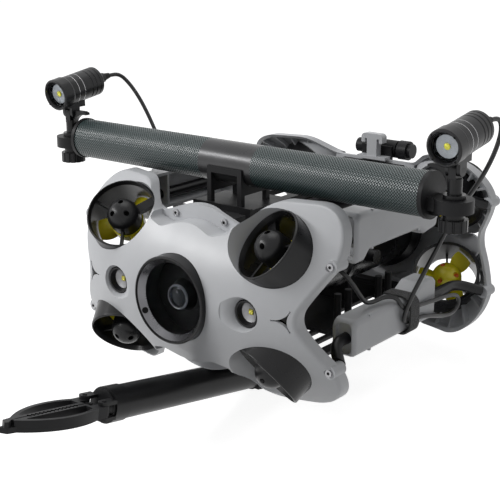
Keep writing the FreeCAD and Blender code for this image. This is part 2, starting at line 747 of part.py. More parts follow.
def top_rail():
    plate = box(-RAIL_HALF_WIDTH, RAIL_HALF_WIDTH, -RAIL_HALF_LENGTH, RAIL_HALF_LENGTH,
                RAIL_Z0, RAIL_Z0 + RAIL_T)
    parts = [plate]
    holes = []
    for end in (-1, 1):
        y0, y1 = sorted((end * RAIL_HALF_LENGTH, end * (RAIL_HALF_LENGTH - RAIL_END)))
        parts.append(box(-RAIL_END_HALF, RAIL_END_HALF, y0, y1, RAIL_Z0 - 2,
                         LEDGE_SCREW_Z + 3.5))
        for side in (1, -1):
            start = Vector(side * LEDGE_SCREW_X, end * (RAIL_HALF_LENGTH + 5), LEDGE_SCREW_Z)
            holes.append(rod(SCREW_R, start, start - Vector(0, end * 12, 0)))
        yc = end * SADDLE_Y
        parts.append(box(-18, 18, yc - SADDLE_T / 2, yc + SADDLE_T / 2, 0, RAIL_Z0))
    body = parts[0].multiFuse(parts[1:])
    bore = rod(HULL_R + CLEARANCE, Vector(0, -HULL_HALF, 0), Vector(0, HULL_HALF, 0))
    for y in (-20, 20):
        holes.append(box(-RAIL_WINDOW / 2, RAIL_WINDOW / 2, y - 0.8 * RAIL_WINDOW,
                         y + 0.8 * RAIL_WINDOW, RAIL_Z0 - 5, RAIL_Z0 + RAIL_T + 5))
    return body.cut([bore] + holes)


def bottom_tray():
    top = -TRAY_UNDER + TRAY_T
    plate = box(-TRAY_HALF_WIDTH, TRAY_HALF_WIDTH, -TRAY_HALF_SPAN, TRAY_HALF_SPAN,
                -TRAY_UNDER, top)
    parts = [plate]
    holes = []
    for end in (-1, 1):
        y0, y1 = sorted((end * RAIL_HALF_LENGTH, end * (TRAY_HALF_SPAN - 6)))
        parts.append(box(-RAIL_END_HALF, RAIL_END_HALF, y0, y1, -TRAY_UNDER, top))
        y0, y1 = sorted((end * RAIL_HALF_LENGTH, end * (RAIL_HALF_LENGTH - RAIL_END)))
        parts.append(box(-RAIL_END_HALF, RAIL_END_HALF, y0, y1, -LEDGE_SCREW_Z - 3.5,
                         -LEDGE_SCREW_Z + 6))
        for side in (1, -1):
            start = Vector(side * LEDGE_SCREW_X, end * (RAIL_HALF_LENGTH + 5), -LEDGE_SCREW_Z)
            holes.append(rod(SCREW_R, start, start - Vector(0, end * 12, 0)))
            for row in (-1, 1):
                foot = Vector(side * POST_X, end * POST_Y + row * POST_HALF_PITCH, top)
                parts.append(rod(POST_R, foot, foot + Vector(0, 0, POST_HEIGHT)))
        yc = end * SADDLE_Y
        parts.append(box(-18, 18, yc - SADDLE_T / 2, yc + SADDLE_T / 2, top - 1, 0))
        for column in range(-4, 5):
            x = column * TRAY_SLOT_PITCH
            if abs(column) < 2:
                continue
            y0, y1 = sorted((end * TRAY_SLOT_Y0, end * TRAY_SLOT_Y1))
            holes.append(box(x - TRAY_SLOT_W / 2, x + TRAY_SLOT_W / 2, y0, y1,
                             -TRAY_UNDER - 5, top + 5))
    for side, row in each_quarter():
        spot = Vector(side * PAYLOAD_X / 2, row * PAYLOAD_Y / 2, -TRAY_UNDER - 1)
        holes.append(rod(PAYLOAD_HOLE_R, spot, spot + Vector(0, 0, TRAY_T + 2)))
    body = parts[0].multiFuse(parts[1:])
    bore = rod(HULL_R + CLEARANCE, Vector(0, -HULL_HALF, 0), Vector(0, HULL_HALF, 0))
    return body.cut([bore] + holes)


# ---------------------------------------------------------------- frame tubes and beams
def frame_tube(level):
    z = FRAME_UPPER_Z if level > 0 else FRAME_LOWER_Z
    end_z = level * FRAME_END_Z
    points = [Vector(EAR_X - 1, -EAR_BACK + 0.1, end_z), Vector(FRAME_X, -FRAME_BEND_Y, z),
              Vector(FRAME_X, FRAME_BEND_Y, z), Vector(EAR_X - 1, EAR_BACK - 0.1, end_z)]
    return points


def frame_tubes():
    tubes = []
    for level in (1, -1):
        tube = tube_path(frame_tube(level), FRAME_TUBE_R)
        cap = box(-300, 300, -EAR_BACK + CLEARANCE, EAR_BACK - CLEARANCE, -100, 100)
        tube = tube.common(cap)
        for side in (1, -1):
            tubes.append(mirrored(tube, side < 0, False, False))
    return tubes


def side_beam(upper):
    base = BEAM_UPPER_Z if upper else BEAM_LOWER_Z
    full = base + BEAM_HEIGHT
    slim_low = base + BEAM_HEIGHT - BEAM_SLIM
    if upper:
        corners = [(BEAM_Y0, base, 5.0), (BEAM_STEP_Y - 8, base, 5.0),
                   (BEAM_STEP_Y, slim_low, 6.0), (BEAM_TAIL_Y, slim_low, 8.0),
                   (BEAM_TAIL_Y + 9, slim_low - 6, 6.0), (BEAM_Y1 - 4, slim_low - 3, 4.0),
                   (BEAM_Y1, full - 24, 3.0), (BEAM_Y1, full, 9.0), (BEAM_Y0, full, 9.0)]
    else:
        corners = [(BEAM_Y0, base, 5.0), (BEAM_Y1, base, 8.0), (BEAM_Y1, full - 3, 6.0),
                   (BEAM_TAIL_Y + 6, full - 3, 8.0), (BEAM_TAIL_Y - 6, full - 10, 8.0),
                   (BEAM_Y0, full - 10, 8.0)]
    wire = rounded_wire(corners, lambda u, v: Vector(BEAM_X0, u, v))
    block = Part.Face(wire).extrude(Vector(BEAM_X1 - BEAM_X0, 0, 0))
    outer = [e for e in block.Edges if all(abs(v.X - BEAM_X1) < 1e-4 for v in e.Vertexes)]
    block = block.makeFillet(BEAM_EDGE_R, outer)
    inner_wire = wire.makeOffset2D(-BEAM_WALL)
    inner = Part.Face(inner_wire).extrude(Vector(BEAM_X1 - BEAM_X0 - BEAM_WALL, 0, 0))
    inner.translate(Vector(-0.01, 0, 0))
    behind = BEAM_Y0 + BEAM_END_DEPTH + BEAM_WALL
    inner = inner.common(box(BEAM_X0 - 1, BEAM_X1, behind, BEAM_Y1, base - 10, full + 10))
    front_top = full if upper else full - 10
    recess = box(BEAM_X0 + BEAM_WALL, BEAM_X1 - BEAM_WALL, BEAM_Y0 - 1, BEAM_Y0 + BEAM_END_DEPTH,
                 base + BEAM_WALL, front_top - BEAM_WALL)
    recess = recess.makeFillet(BEAM_EDGE_R, [e for e in recess.Edges
                                             if abs(e.tangentAt(e.FirstParameter).y) > 0.99])
    window = box(BEAM_X0 + 5, BEAM_X1 - 5, BEAM_Y0 - 1, behind + 1, base + 5.5, base + 13)
    beam = block.cut([inner, recess] + ([window] if upper else []))
    z = FRAME_UPPER_Z if upper else FRAME_LOWER_Z
    webs = []
    for y in (BEAM_STEP_Y + 4, BEAM_TAIL_Y):
        web = box(BEAM_X0, BEAM_X1 - 1, y - 1.2, y + 1.2, base - 10, full + 10)
        webs.append(web.common(Part.Face(wire).extrude(Vector(BEAM_X1 - BEAM_X0 - 1, 0, 0))))
    beam = beam.multiFuse(webs)
    hole = rod(FRAME_TUBE_R + CLEARANCE, Vector(FRAME_X, -120, z), Vector(FRAME_X, 120, z))
    return beam.cut(hole)


def beam_strap():
    """Hook-and-loop strap round the lower left beam."""
    base = BEAM_LOWER_Z
    full = base + BEAM_HEIGHT - 10
    reach = CLEARANCE + STRAP_T
    y0, y1 = STRAP_Y - STRAP_W / 2, STRAP_Y + STRAP_W / 2
    outside = BEAM_X1 + 2 * CABLE_R + STRAP_SLACK

    def band(grow):
        corners = [(BEAM_X0 - grow, base - grow, grow), (outside + grow, base - grow, 8.0 + grow),
                   (outside + grow, full + grow, 8.0 + grow), (BEAM_X0 - grow, full + grow, grow)]
        wire = rounded_wire(corners, lambda u, v: Vector(u, y0, v))
        return Part.Face(wire).extrude(Vector(0, y1 - y0, 0))

    return band(reach).cut(band(CLEARANCE))


# ---------------------------------------------------------------- light bar
def bar_tube(x0, x1):
    outer = rod(BAR_R, Vector(x0, BAR_Y, BAR_Z), Vector(x1, BAR_Y, BAR_Z))
    inner = rod(BAR_R - BAR_WALL, Vector(x0 - 1, BAR_Y, BAR_Z), Vector(x1 + 1, BAR_Y, BAR_Z))
    return outer.cut(inner)


def bar_sleeve():
    x0, x1 = SLEEVE_X - SLEEVE_HALF, SLEEVE_X + SLEEVE_HALF
    spigot_r = BAR_R - BAR_WALL - RUNNING
    sleeve = rod(BAR_R, Vector(x0, BAR_Y, BAR_Z), Vector(x1, BAR_Y, BAR_Z))
    spigot = rod(spigot_r, Vector(x0 - SPIGOT, BAR_Y, BAR_Z), Vector(x1 + SPIGOT, BAR_Y, BAR_Z))
    bore = rod(spigot_r - 2, Vector(x0 - SPIGOT - 1, BAR_Y, BAR_Z),
               Vector(x1 + SPIGOT + 1, BAR_Y, BAR_Z))
    return sleeve.fuse(spigot).cut(bore)


def bar_cradle():
    """Open frame on four posts between the top rail and the bar's sleeve."""
    base_z = RAIL_Z0 + RAIL_T
    floor = base_z + CRADLE_BASE_T
    top = BAR_Z - 1.0
    x0, x1 = CRADLE_X - CRADLE_HALF, CRADLE_X + CRADLE_HALF
    y0, y1 = BAR_Y - CRADLE_HALF_DEPTH, BAR_Y + CRADLE_HALF_DEPTH
    base_x0, base_x1 = CRADLE_X - CRADLE_BASE_HALF, CRADLE_X + CRADLE_BASE_HALF
    parts = [box(base_x0, base_x1, y0 - 2, y1 + 2, base_z, floor)]
    lip_y = y0 - 4
    parts.append(box(base_x0, base_x1, lip_y, y0 - 1, base_z, floor + 1))
    for side in (1, -1):
        lug_x = CRADLE_X + side * (CRADLE_BASE_HALF - 5)
        parts.append(box(lug_x - 5, lug_x + 5, lip_y, y0 - 1, base_z - 9, base_z))
    for x in (x0, x1 - CRADLE_POST):
        for y in (y0, y1 - CRADLE_POST):
            parts.append(box(x, x + CRADLE_POST, y, y + CRADLE_POST, base_z, top))
        parts.append(box(x, x + CRADLE_POST, y0, y1, BAR_Z - BAR_R - CRADLE_BAR, top))
    for y in (y0, y1 - CRADLE_POST):
        parts.append(box(x0, x1, y, y + CRADLE_POST, top - CRADLE_BAR, top))
    body = parts[0].multiFuse(parts[1:])
    seat = rod(BAR_R + CLEARANCE, Vector(-100, BAR_Y, BAR_Z), Vector(100, BAR_Y, BAR_Z))
    return body.cut(seat)


def light_bracket():
    cap = rod(CAP_R, Vector(BAR_HALF, BAR_Y, BAR_Z), Vector(BAR_HALF + CAP_T, BAR_Y, BAR_Z))
    spigot = rod(BAR_R - BAR_WALL - RUNNING, Vector(BAR_HALF - 12, BAR_Y, BAR_Z),
                 Vector(BAR_HALF, BAR_Y, BAR_Z))
    z0, z1 = BAR_Z - RING_T, BAR_Z
    ring = rod(RING_R, Vector(POST_OUT, BAR_Y, z0), Vector(POST_OUT, BAR_Y, z1))
    arm = box(BAR_HALF + 1, POST_OUT, BAR_Y - 9, BAR_Y + 9, z0, z1)
    web = box(BAR_HALF + 1, POST_OUT - THUMB_R - 1, BAR_Y - 2, BAR_Y + 2, z0 - 5, z1)
    hole = rod(THUMB_STEM_R + RUNNING, Vector(POST_OUT, BAR_Y, 0), Vector(POST_OUT, BAR_Y, 150))
    return cap.multiFuse([spigot, ring, arm, web]).cut(hole)


def thumb_screw():
    z1 = BAR_Z - RING_T - CLEARANCE
    z0 = z1 - THUMB_GAP
    x = POST_OUT
    neck = rod(THUMB_NECK_R, Vector(x, BAR_Y, z0), Vector(x, BAR_Y, z1))
    knob = rod(THUMB_R, Vector(x, BAR_Y, z0 - THUMB_T), Vector(x, BAR_Y, z0))
    stem = rod(THUMB_STEM_R, Vector(x, BAR_Y, z1), Vector(x, BAR_Y, BAR_Z + 4))
    flutes = []
    for index in range(12):
        angle = math.radians(30 * index)
        foot = Vector(x + THUMB_R * math.cos(angle), BAR_Y + THUMB_R * math.sin(angle), z0 - THUMB_T)
        flutes.append(rod(0.9, foot, foot + Vector(0, 0, THUMB_T)))
    return knob.cut(flutes).multiFuse([neck, stem])


def light_post():
    x = POST_OUT
    z0 = BAR_Z + CLEARANCE
    shoulder = PIVOT_Z - PIVOT_R - 2.0
    flange = rod(POST_FLANGE_R, Vector(x, BAR_Y, z0), Vector(x, BAR_Y, z0 + 3))
    column = rod(LIGHT_POST_R, Vector(x, BAR_Y, z0), Vector(x, BAR_Y, shoulder))
    gusset = Part.Face(Part.makePolygon([
        Vector(x - 1.5, BAR_Y, z0 + 2), Vector(x - 1.5, BAR_Y + POST_FLANGE_R - 1, z0 + 2),
        Vector(x - 1.5, BAR_Y + 4, shoulder), Vector(x - 1.5, BAR_Y, shoulder),
        Vector(x - 1.5, BAR_Y, z0 + 2)])).extrude(Vector(3, 0, 0))
    half = TONGUE_T / 2
    root = x - LIGHT_POST_R + 1
    arc_z = BAR_Z + 7.5
    wing = Part.Face(Part.Wire([
        Part.LineSegment(Vector(root, 0, arc_z + WING_R + 3), Vector(root, 0, arc_z)).toShape(),
        Part.Arc(Vector(root, 0, arc_z),
                 Vector(root - WING_R * (1 - math.sqrt(0.5)), 0, arc_z + WING_R * math.sqrt(0.5)),
                 Vector(root - WING_R, 0, arc_z + WING_R)).toShape(),
        Part.LineSegment(Vector(root - WING_R, 0, arc_z + WING_R),
                         Vector(x - WING_REACH, 0, arc_z + WING_R)).toShape(),
        Part.LineSegment(Vector(x - WING_REACH, 0, arc_z + WING_R),
                         Vector(x - WING_REACH, 0, arc_z + WING_R + 2)).toShape(),
        Part.LineSegment(Vector(x - WING_REACH, 0, arc_z + WING_R + 2),
                         Vector(root - WING_R, 0, arc_z + WING_R + 3)).toShape(),
        Part.LineSegment(Vector(root - WING_R, 0, arc_z + WING_R + 3),
                         Vector(root, 0, arc_z + WING_R + 3)).toShape()]))
    wing.translate(Vector(0, BAR_Y - 2.5, 0))
    wing = wing.extrude(Vector(0, 5, 0))
    tongue = box(x - half, x + half, BAR_Y - PIVOT_R, BAR_Y + PIVOT_R, shoulder - 2, PIVOT_Z)
    eye = rod(PIVOT_R, Vector(x - half, BAR_Y, PIVOT_Z), Vector(x + half, BAR_Y, PIVOT_Z))
    reach = half + CLEARANCE + EAR_T
    pin = rod(PIVOT_PIN_R, Vector(x - reach, BAR_Y, PIVOT_Z), Vector(x + reach, BAR_Y, PIVOT_Z))
    socket = rod(THUMB_STEM_R + RUNNING, Vector(x, BAR_Y, z0 - 1), Vector(x, BAR_Y, z0 + 5))
    ears_room = rod(PIVOT_R + 0.9, Vector(x - reach - 0.4, BAR_Y, PIVOT_Z),
                    Vector(x - half, BAR_Y, PIVOT_Z))
    wing = wing.cut(ears_room)
    return flange.multiFuse([column, gusset, wing, tongue, eye, pin]).cut(socket)


def floodlight():
    """Lamp body about its own axis: local +Y is its back, the pivot is the local origin."""
    up = FLOOD_AXIS_UP
    profile = [Vector(0, FLOOD_BACK, 0), Vector(FLOOD_R - 4, FLOOD_BACK, 0),
               Vector(FLOOD_R - 1, FLOOD_BACK - 3, 0)]
    for index in range(3):
        y = FLOOD_BACK - 6 - 5 * index
        profile += [Vector(FLOOD_R - 1, y, 0), Vector(FLOOD_R - 1 - FLOOD_GROOVE, y - 0.8, 0),
                    Vector(FLOOD_R - 1, y - 1.6, 0)]
    front = -FLOOD_FRONT
    profile += [Vector(FLOOD_R - 1, front + 13, 0), Vector(FLOOD_R, front + 11, 0),
                Vector(FLOOD_R, front + 1, 0), Vector(FLOOD_R - 1, front, 0),
                Vector(FLOOD_R - 2, front, 0), Vector(FLOOD_DISH_R, front + 2, 0),
                Vector(FLOOD_DISH_R, front + FLOOD_DISH, 0),
                Vector(0, front + FLOOD_DISH, 0)]
    body = turned(profile, axis=Vector(0, 1, 0))
    gland = rod(GLAND_R, Vector(0, FLOOD_BACK, 0), Vector(0, FLOOD_BACK + GLAND_LENGTH, 0))
    body = body.fuse(gland)
    lens = rod(FLOOD_DISH_R - RUNNING, Vector(0, front + FLOOD_DISH - 2.5, 0),
               Vector(0, front + FLOOD_DISH, 0))
    for solid in (body, lens):
        solid.rotate(Vector(0, 0, 0), Vector(1, 0, 0), FLOOD_PITCH)
        solid.translate(Vector(0, 0, up))
    inner = TONGUE_T / 2 + CLEARANCE
    saddle = box(-inner - EAR_T, inner + EAR_T, -8, 12, up - FLOOD_R - 1.5, up - FLOOD_R + 5)
    ears = []
    for side in (1, -1):
        x0, x1 = sorted((side * inner, side * (inner + EAR_T)))
        ears.append(rod(PIVOT_R, Vector(x0, 0, 0), Vector(x1, 0, 0)))
        ears.append(box(x0, x1, -PIVOT_R, PIVOT_R, 0, up - FLOOD_R + 3))
    swing = rod(PIVOT_R + 0.9, Vector(-inner, 0, 0), Vector(inner, 0, 0))
    hole = rod(PIVOT_PIN_R + RUNNING, Vector(-20, 0, 0), Vector(20, 0, 0))
    slot = box(-inner, inner, -PIVOT_R - 1, PIVOT_R + 1, -PIVOT_R, PIVOT_R + 0.4)
    body = body.multiFuse([saddle] + ears).cut([hole, swing, slot])
    for solid in (body, lens):
        solid.translate(Vector(POST_OUT, BAR_Y, PIVOT_Z))
    return body, lens


def gland_end(side, up_shift=0.0):
    """End of a floodlight's gland, where its cable leaves, and the cable's direction."""
    tilt = math.radians(FLOOD_PITCH)
    reach = FLOOD_BACK + GLAND_LENGTH
    point = Vector(side * POST_OUT, BAR_Y + reach * math.cos(tilt),
                   PIVOT_Z + FLOOD_AXIS_UP + reach * math.sin(tilt))
    return point, Vector(0, math.cos(tilt), math.sin(tilt))


# ---------------------------------------------------------------- stern fittings
def tow_hook():
    z0 = STERN_TOP_Z
    half = HOOK_HEAD / 2
    top = z0 + HOOK_BASE_T + HOOK_HEIGHT
    y0 = LEDGE_Y - 1.0 - HOOK_DEPTH
    corners = [(HOOK_STEM / 2, z0 + 1, 0), (HOOK_STEM / 2, top - 5, 1.4), (half - 4, top - 5, 0.8),
               (half - 4, top - 9, 0.6), (half, top - 9, 0.6), (half, top, 4.0)]
    wire = rounded_wire(corners + [(-u, v, r) for u, v, r in corners[::-1]],
                        lambda u, v: Vector(u, y0, v))
    hook = Part.Face(wire).extrude(Vector(0, HOOK_DEPTH, 0))
    base = box(-HOOK_BASE / 2, HOOK_BASE / 2, y0 - 1, y0 + HOOK_DEPTH + 1, z0, z0 + HOOK_BASE_T)
    return hook.fuse(base)


def tether_socket():
    plate_y = LEDGE_Y
    plate = box(-17, 17, plate_y, plate_y + 3, LEDGE_CREST_Z - 1.5, SOCKET_Z + 4)
    centre_y = plate_y + 3 + SOCKET_R - 1
    x0, x1 = -SOCKET_LENGTH / 2 + 4, SOCKET_LENGTH / 2 + 4
    centre = Vector(0, centre_y, SOCKET_Z)
    parts = [rod(SOCKET_R, centre + Vector(x0 + 10, 0, 0), centre + Vector(x1 - 16, 0, 0))]
    parts.append(rod(SOCKET_R - 1.5, centre + Vector(x0, 0, 0), centre + Vector(x1, 0, 0)))
    parts.append(rod(SOCKET_R + 0.8, centre + Vector(x1 - 14, 0, 0), centre + Vector(x1 - 4, 0, 0)))
    return plate.multiFuse(parts)


# ---------------------------------------------------------------- grabber arm
def arm_placement():
    return Placement(Vector(0, ARM_Y, ARM_Z), Rotation(Vector(1, 0, 0), -ARM_PITCH))


def arm_housing():
    tube = rod(ARM_R, Vector(0, ARM_COLLAR, 0), Vector(0, ARM_LENGTH, 0))
    collar = rod(ARM_COLLAR_R, Vector(0, 2, 0), Vector(0, ARM_COLLAR, 0))
    nose = rod(ARM_COLLAR_R - 1.5, Vector(0, 0, 0), Vector(0, 2, 0))
    lugs = []
    reach = JAW_HEIGHT / 2 + CLEARANCE
    for side in (1, -1):
        x = side * JAW_PIVOT_X
        for z0 in (reach, -reach - LUG_T):
            lugs.append(box(x - JAW_EYE_R, x + JAW_EYE_R, JAW_PIVOT_Y, 1, z0, z0 + LUG_T))
            lugs.append(rod(JAW_EYE_R, Vector(x, JAW_PIVOT_Y, z0), Vector(x, JAW_PIVOT_Y, z0 + LUG_T)))
        lugs.append(rod(JAW_PIN_R, Vector(x, JAW_PIVOT_Y, -reach - LUG_T - 0.8),
                        Vector(x, JAW_PIVOT_Y, reach + LUG_T + 0.8)))
    bore = rod(ROD_R + RUNNING, Vector(0, -1, 0), Vector(0, 40, 0))
    return tube.multiFuse([collar, nose] + lugs).cut(bore)


def arm_mount():
    """Clamp block behind the housing, with the hanger that carries the arm from the tray."""
    block = box(-ARM_BLOCK_HALF, ARM_BLOCK_HALF, ARM_LENGTH, ARM_LENGTH + ARM_BLOCK,
                -ARM_BLOCK_HALF - 2, ARM_BLOCK_HALF)
    ring = rod(ARM_R + 1.2, Vector(0, ARM_LENGTH, 0), Vector(0, ARM_LENGTH + 3, 0))
    block = block.fuse(ring)
    block.Placement = arm_placement()
    drop = math.radians(ARM_PITCH)
    y_mid = ARM_Y + (ARM_LENGTH + ARM_BLOCK / 2) * math.cos(drop)
    z_mid = ARM_Z - (ARM_LENGTH + ARM_BLOCK / 2) * math.sin(drop)
    hanger = box(-ARM_BLOCK_HALF + 2, ARM_BLOCK_HALF - 2, y_mid - 10, y_mid + 10, z_mid, -TRAY_UNDER)
    foot = box(-18, 18, y_mid - 14, y_mid + 14, -TRAY_UNDER - 4, -TRAY_UNDER)
    hole_at = Placement(Vector(0, ARM_Y, ARM_Z), Rotation(Vector(1, 0, 0), -ARM_PITCH))
    hole = rod(SCREW_R + 0.6, Vector(-20, ARM_LENGTH + 0.6 * ARM_BLOCK, -6),
               Vector(20, ARM_LENGTH + 0.6 * ARM_BLOCK, -6))
    hole.Placement = hole_at
    return block.multiFuse([hanger, foot]).cut(hole)


def arm_screw():
    y = ARM_LENGTH + 0.6 * ARM_BLOCK
    x = ARM_BLOCK_HALF
    stem = rod(SCREW_R + 0.55, Vector(-x, y, -6), Vector(x, y, -6))
    head = rod(4.0, Vector(x, y, -6), Vector(x + 2.5, y, -6))
    slot = box(x + 1.5, x + 3, y - 5, y + 5, -6.5, -5.5)
    screw = stem.fuse(head).cut(slot)
    screw.Placement = arm_placement()
    return screw


def arm_jaw(side):
    """One jaw, closed: a D-shaped frame with teeth along its straight inner edge."""
    x_in = 0.6
    tip_y = JAW_PIVOT_Y - JAW_LENGTH + 12
    root_y = JAW_PIVOT_Y - 9
    half = JAW_HEIGHT / 2

    def lens(grow):
        start = Vector(x_in + grow, root_y - grow, -half)
        out_root = Vector(JAW_PIVOT_X + JAW_EYE_R - grow, root_y - grow, -half)
        bulge = Vector(JAW_BULGE - grow, root_y - 0.42 * JAW_LENGTH, -half)
        tip = Vector(x_in + 2.2 + grow * 0.8, tip_y + 3.2 * grow, -half)
        inner_tip = Vector(x_in + grow, tip_y + 3.2 * grow, -half)
        edges = [Part.LineSegment(start, out_root).toShape(),
                 Part.Arc(out_root, bulge, tip).toShape(),
                 Part.LineSegment(tip, inner_tip).toShape(),
                 Part.LineSegment(inner_tip, start).toShape()]
        return Part.Face(Part.Wire(edges)).extrude(Vector(0, 0, JAW_HEIGHT))

    frame = lens(0)
    neck = box(JAW_PIVOT_X - JAW_EYE_R, JAW_PIVOT_X + JAW_EYE_R, root_y - 3, JAW_PIVOT_Y,
               -half, half)
    eye = rod(JAW_EYE_R, Vector(JAW_PIVOT_X, JAW_PIVOT_Y, -half),
              Vector(JAW_PIVOT_X, JAW_PIVOT_Y, half))
    low, high = (-half, -0.2) if side > 0 else (0.2, half)
    hook_wire = rounded_wire([(x_in, tip_y + 6, 0), (x_in + 4, tip_y + 6, 0),
                              (x_in + 2.5, tip_y - 6, 1.0), (x_in - 3.5, tip_y - 9, 1.0),
                              (x_in - 4.5, tip_y - 6, 0.8), (x_in - 1.0, tip_y - 1, 1.0)],
                             lambda u, v: Vector(u, v, low))
    hook = Part.Face(hook_wire).extrude(Vector(0, 0, high - low))
    jaw = frame.multiFuse([neck, eye, hook])
    cuts = [lens(JAW_WALL),
            rod(JAW_PIN_R + RUNNING, Vector(JAW_PIVOT_X, JAW_PIVOT_Y, -20),
                Vector(JAW_PIVOT_X, JAW_PIVOT_Y, 20))]
    pitch = (root_y - 8 - tip_y - 14) / JAW_TEETH
    for index in range(JAW_TEETH):
        y = root_y - 8 - pitch * (index + 0.5)
        notch = Part.Face(Part.makePolygon([
            Vector(x_in - 0.1, y - 0.42 * pitch, -half), Vector(x_in - 0.1, y + 0.42 * pitch, -half),
            Vector(x_in + JAW_TOOTH, y, -half), Vector(x_in - 0.1, y - 0.42 * pitch, -half)]))
        cuts.append(notch.extrude(Vector(0, 0, JAW_HEIGHT)))
    jaw = jaw.cut(cuts)
    jaw = mirrored(jaw, side < 0, False, False)
    jaw.Placement = arm_placement()
    return jaw


def push_rod():
    end = JAW_PIVOT_Y - 2.0
    stem = rod(ROD_R, Vector(0, end, 0), Vector(0, 36, 0))
    head = box(-CROSSHEAD_HALF, CROSSHEAD_HALF, end - 3, end, -3.2, 3.2)
    pin = rod(1.6, Vector(0, end - 1.5, -4.2), Vector(0, end - 1.5, 4.2))
    solid = stem.multiFuse([head, pin])
    solid.Placement = arm_placement()
    return solid


# ---------------------------------------------------------------- cables
def light_cable_left():
    """From the left lamp down to the strap, out in a loop, back and in to the hull."""
    end, away = gland_end(1)
    run = STRAP_OUT_X
    return [end, end + away * 9, Vector(199, -19, 147.5), Vector(201, -14, 138),
            Vector(200.5, -17, 124), Vector(196, -20, 108), Vector(186, -16, 91),
            Vector(171, -8, 73), Vector(156, -1, 52), Vector(144, 1, 28), Vector(135, -4, 6),
            Vector(129, -11, -13), Vector(125.6, -16, -28), Vector(run, -13, -36.5),
            Vector(run, -1, -38.5), Vector(run + 0.8, 15, -38.5), Vector(run + 1.8, 34, -43),
            Vector(run + 2.2, 52, -48), Vector(run + 2.2, 67, -50), Vector(run + 2.2, 78, -45),
            Vector(run + 2.2, 77, -36), Vector(run + 2.2, 64, -31.5),
            Vector(run + 2.0, 45, -29.5), Vector(run + 1.0, 25, -28.5), Vector(run, 8, -27),
            Vector(run, -7, -26.6), Vector(run + 0.2, -17, -21.5), Vector(120.5, -21, -12.5),
            Vector(113, -27, -11.6), Vector(110, -39, -13.6), Vector(108.6, -50, -12.5),
            Vector(106.5, -57, -3), Vector(103, -63, 8), Vector(95, -67.5, 18),
            Vector(80, -66.5, 21.5), Vector(63, LEFT_GLAND_Y, LEFT_GLAND_Z),
            Vector(HULL_GLAND_X, LEFT_GLAND_Y, LEFT_GLAND_Z)]


def light_cable_right():
    """From the right lamp down outside the upper beam and in to the hull."""
    end, away = gland_end(-1)
    return [end, end + away * 9, Vector(-195, -18, 148), Vector(-189.5, -11, 139),
            Vector(-182, -7, 126), Vector(-173, -6, 111), Vector(-162, -8, 94),
            Vector(-150, -12, 78), Vector(-138, -17, 63), Vector(-129.5, -23, 47),
            Vector(-124.5, -28, 31), Vector(-115, -31, 18.5), Vector(-99, -30, 11.5),
            Vector(-81, -25, 10.4), Vector(-64, RIGHT_GLAND_Y, RIGHT_GLAND_Z),
            Vector(-HULL_GLAND_X, RIGHT_GLAND_Y, RIGHT_GLAND_Z)]


def build():
    put("bow_shell", one(shell(True)))
    put("stern_shell", one(mirrored(shell(False), False, True, False)))
    put("screws", *shell_screws(), arm_screw())
    make_thrusters()
    put("camera_ring", camera_ring())
    put("camera_window", camera_window())
    put("camera_module", camera_module())
    lamps = [headlamp(side) for side in (1, -1)]
    put("headlamps", lamps[0][0], lamps[1][0])
    put("headlamp_lenses", lamps[0][1], lamps[1][1])
    put("pressure_hull", pressure_hull())
    put("hull_end_cap", end_port_cap())
    put("top_rail", one(top_rail()))
    put("bottom_tray", one(bottom_tray()))
    put("frame_tubes", *frame_tubes())
    for side, name in ((1, "left"), (-1, "right")):
        put("upper_beam_" + name, one(mirrored(side_beam(True), side < 0, False, False)))
        put("lower_beam_" + name, one(mirrored(side_beam(False), side < 0, False, False)))
    put("beam_strap", beam_strap())
    put("bar_tube_left", bar_tube(SLEEVE_X + SLEEVE_HALF, BAR_HALF))
    put("bar_tube_right", bar_tube(-BAR_HALF, SLEEVE_X - SLEEVE_HALF))
    put("bar_sleeve", bar_sleeve())
    put("bar_cradle", one(bar_cradle()))
    lamp, lens = floodlight()
    for side, name in ((1, "left"), (-1, "right")):
        put("light_bracket_" + name, mirrored(light_bracket(), side < 0, False, False))
        put("thumb_screw_" + name, mirrored(thumb_screw(), side < 0, False, False))
        put("light_post_" + name, mirrored(light_post(), side < 0, False, False))
        put("floodlight_" + name, mirrored(lamp, side < 0, False, False))
        put("floodlight_lens_" + name, mirrored(lens, side < 0, False, False))
    put("tow_hook", tow_hook())
    put("tether_socket", tether_socket())
    housing = arm_housing()
    housing.Placement = arm_placement()
    put("arm_housing", housing)
    put("arm_mount", one(arm_mount()))
    put("jaw_left", arm_jaw(1))
    put("jaw_right", arm_jaw(-1))
    put("push_rod", push_rod())
    put("light_cable_left", tube_path(light_cable_left(), CABLE_R, "light_cable_left"))
    put("light_cable_right", tube_path(light_cable_right(), CABLE_R, "light_cable_right"))


build()
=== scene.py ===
import math

import bmesh
import bpy
from bpy.props import FloatProperty, FloatVectorProperty, PointerProperty
from mathutils import Matrix, Vector


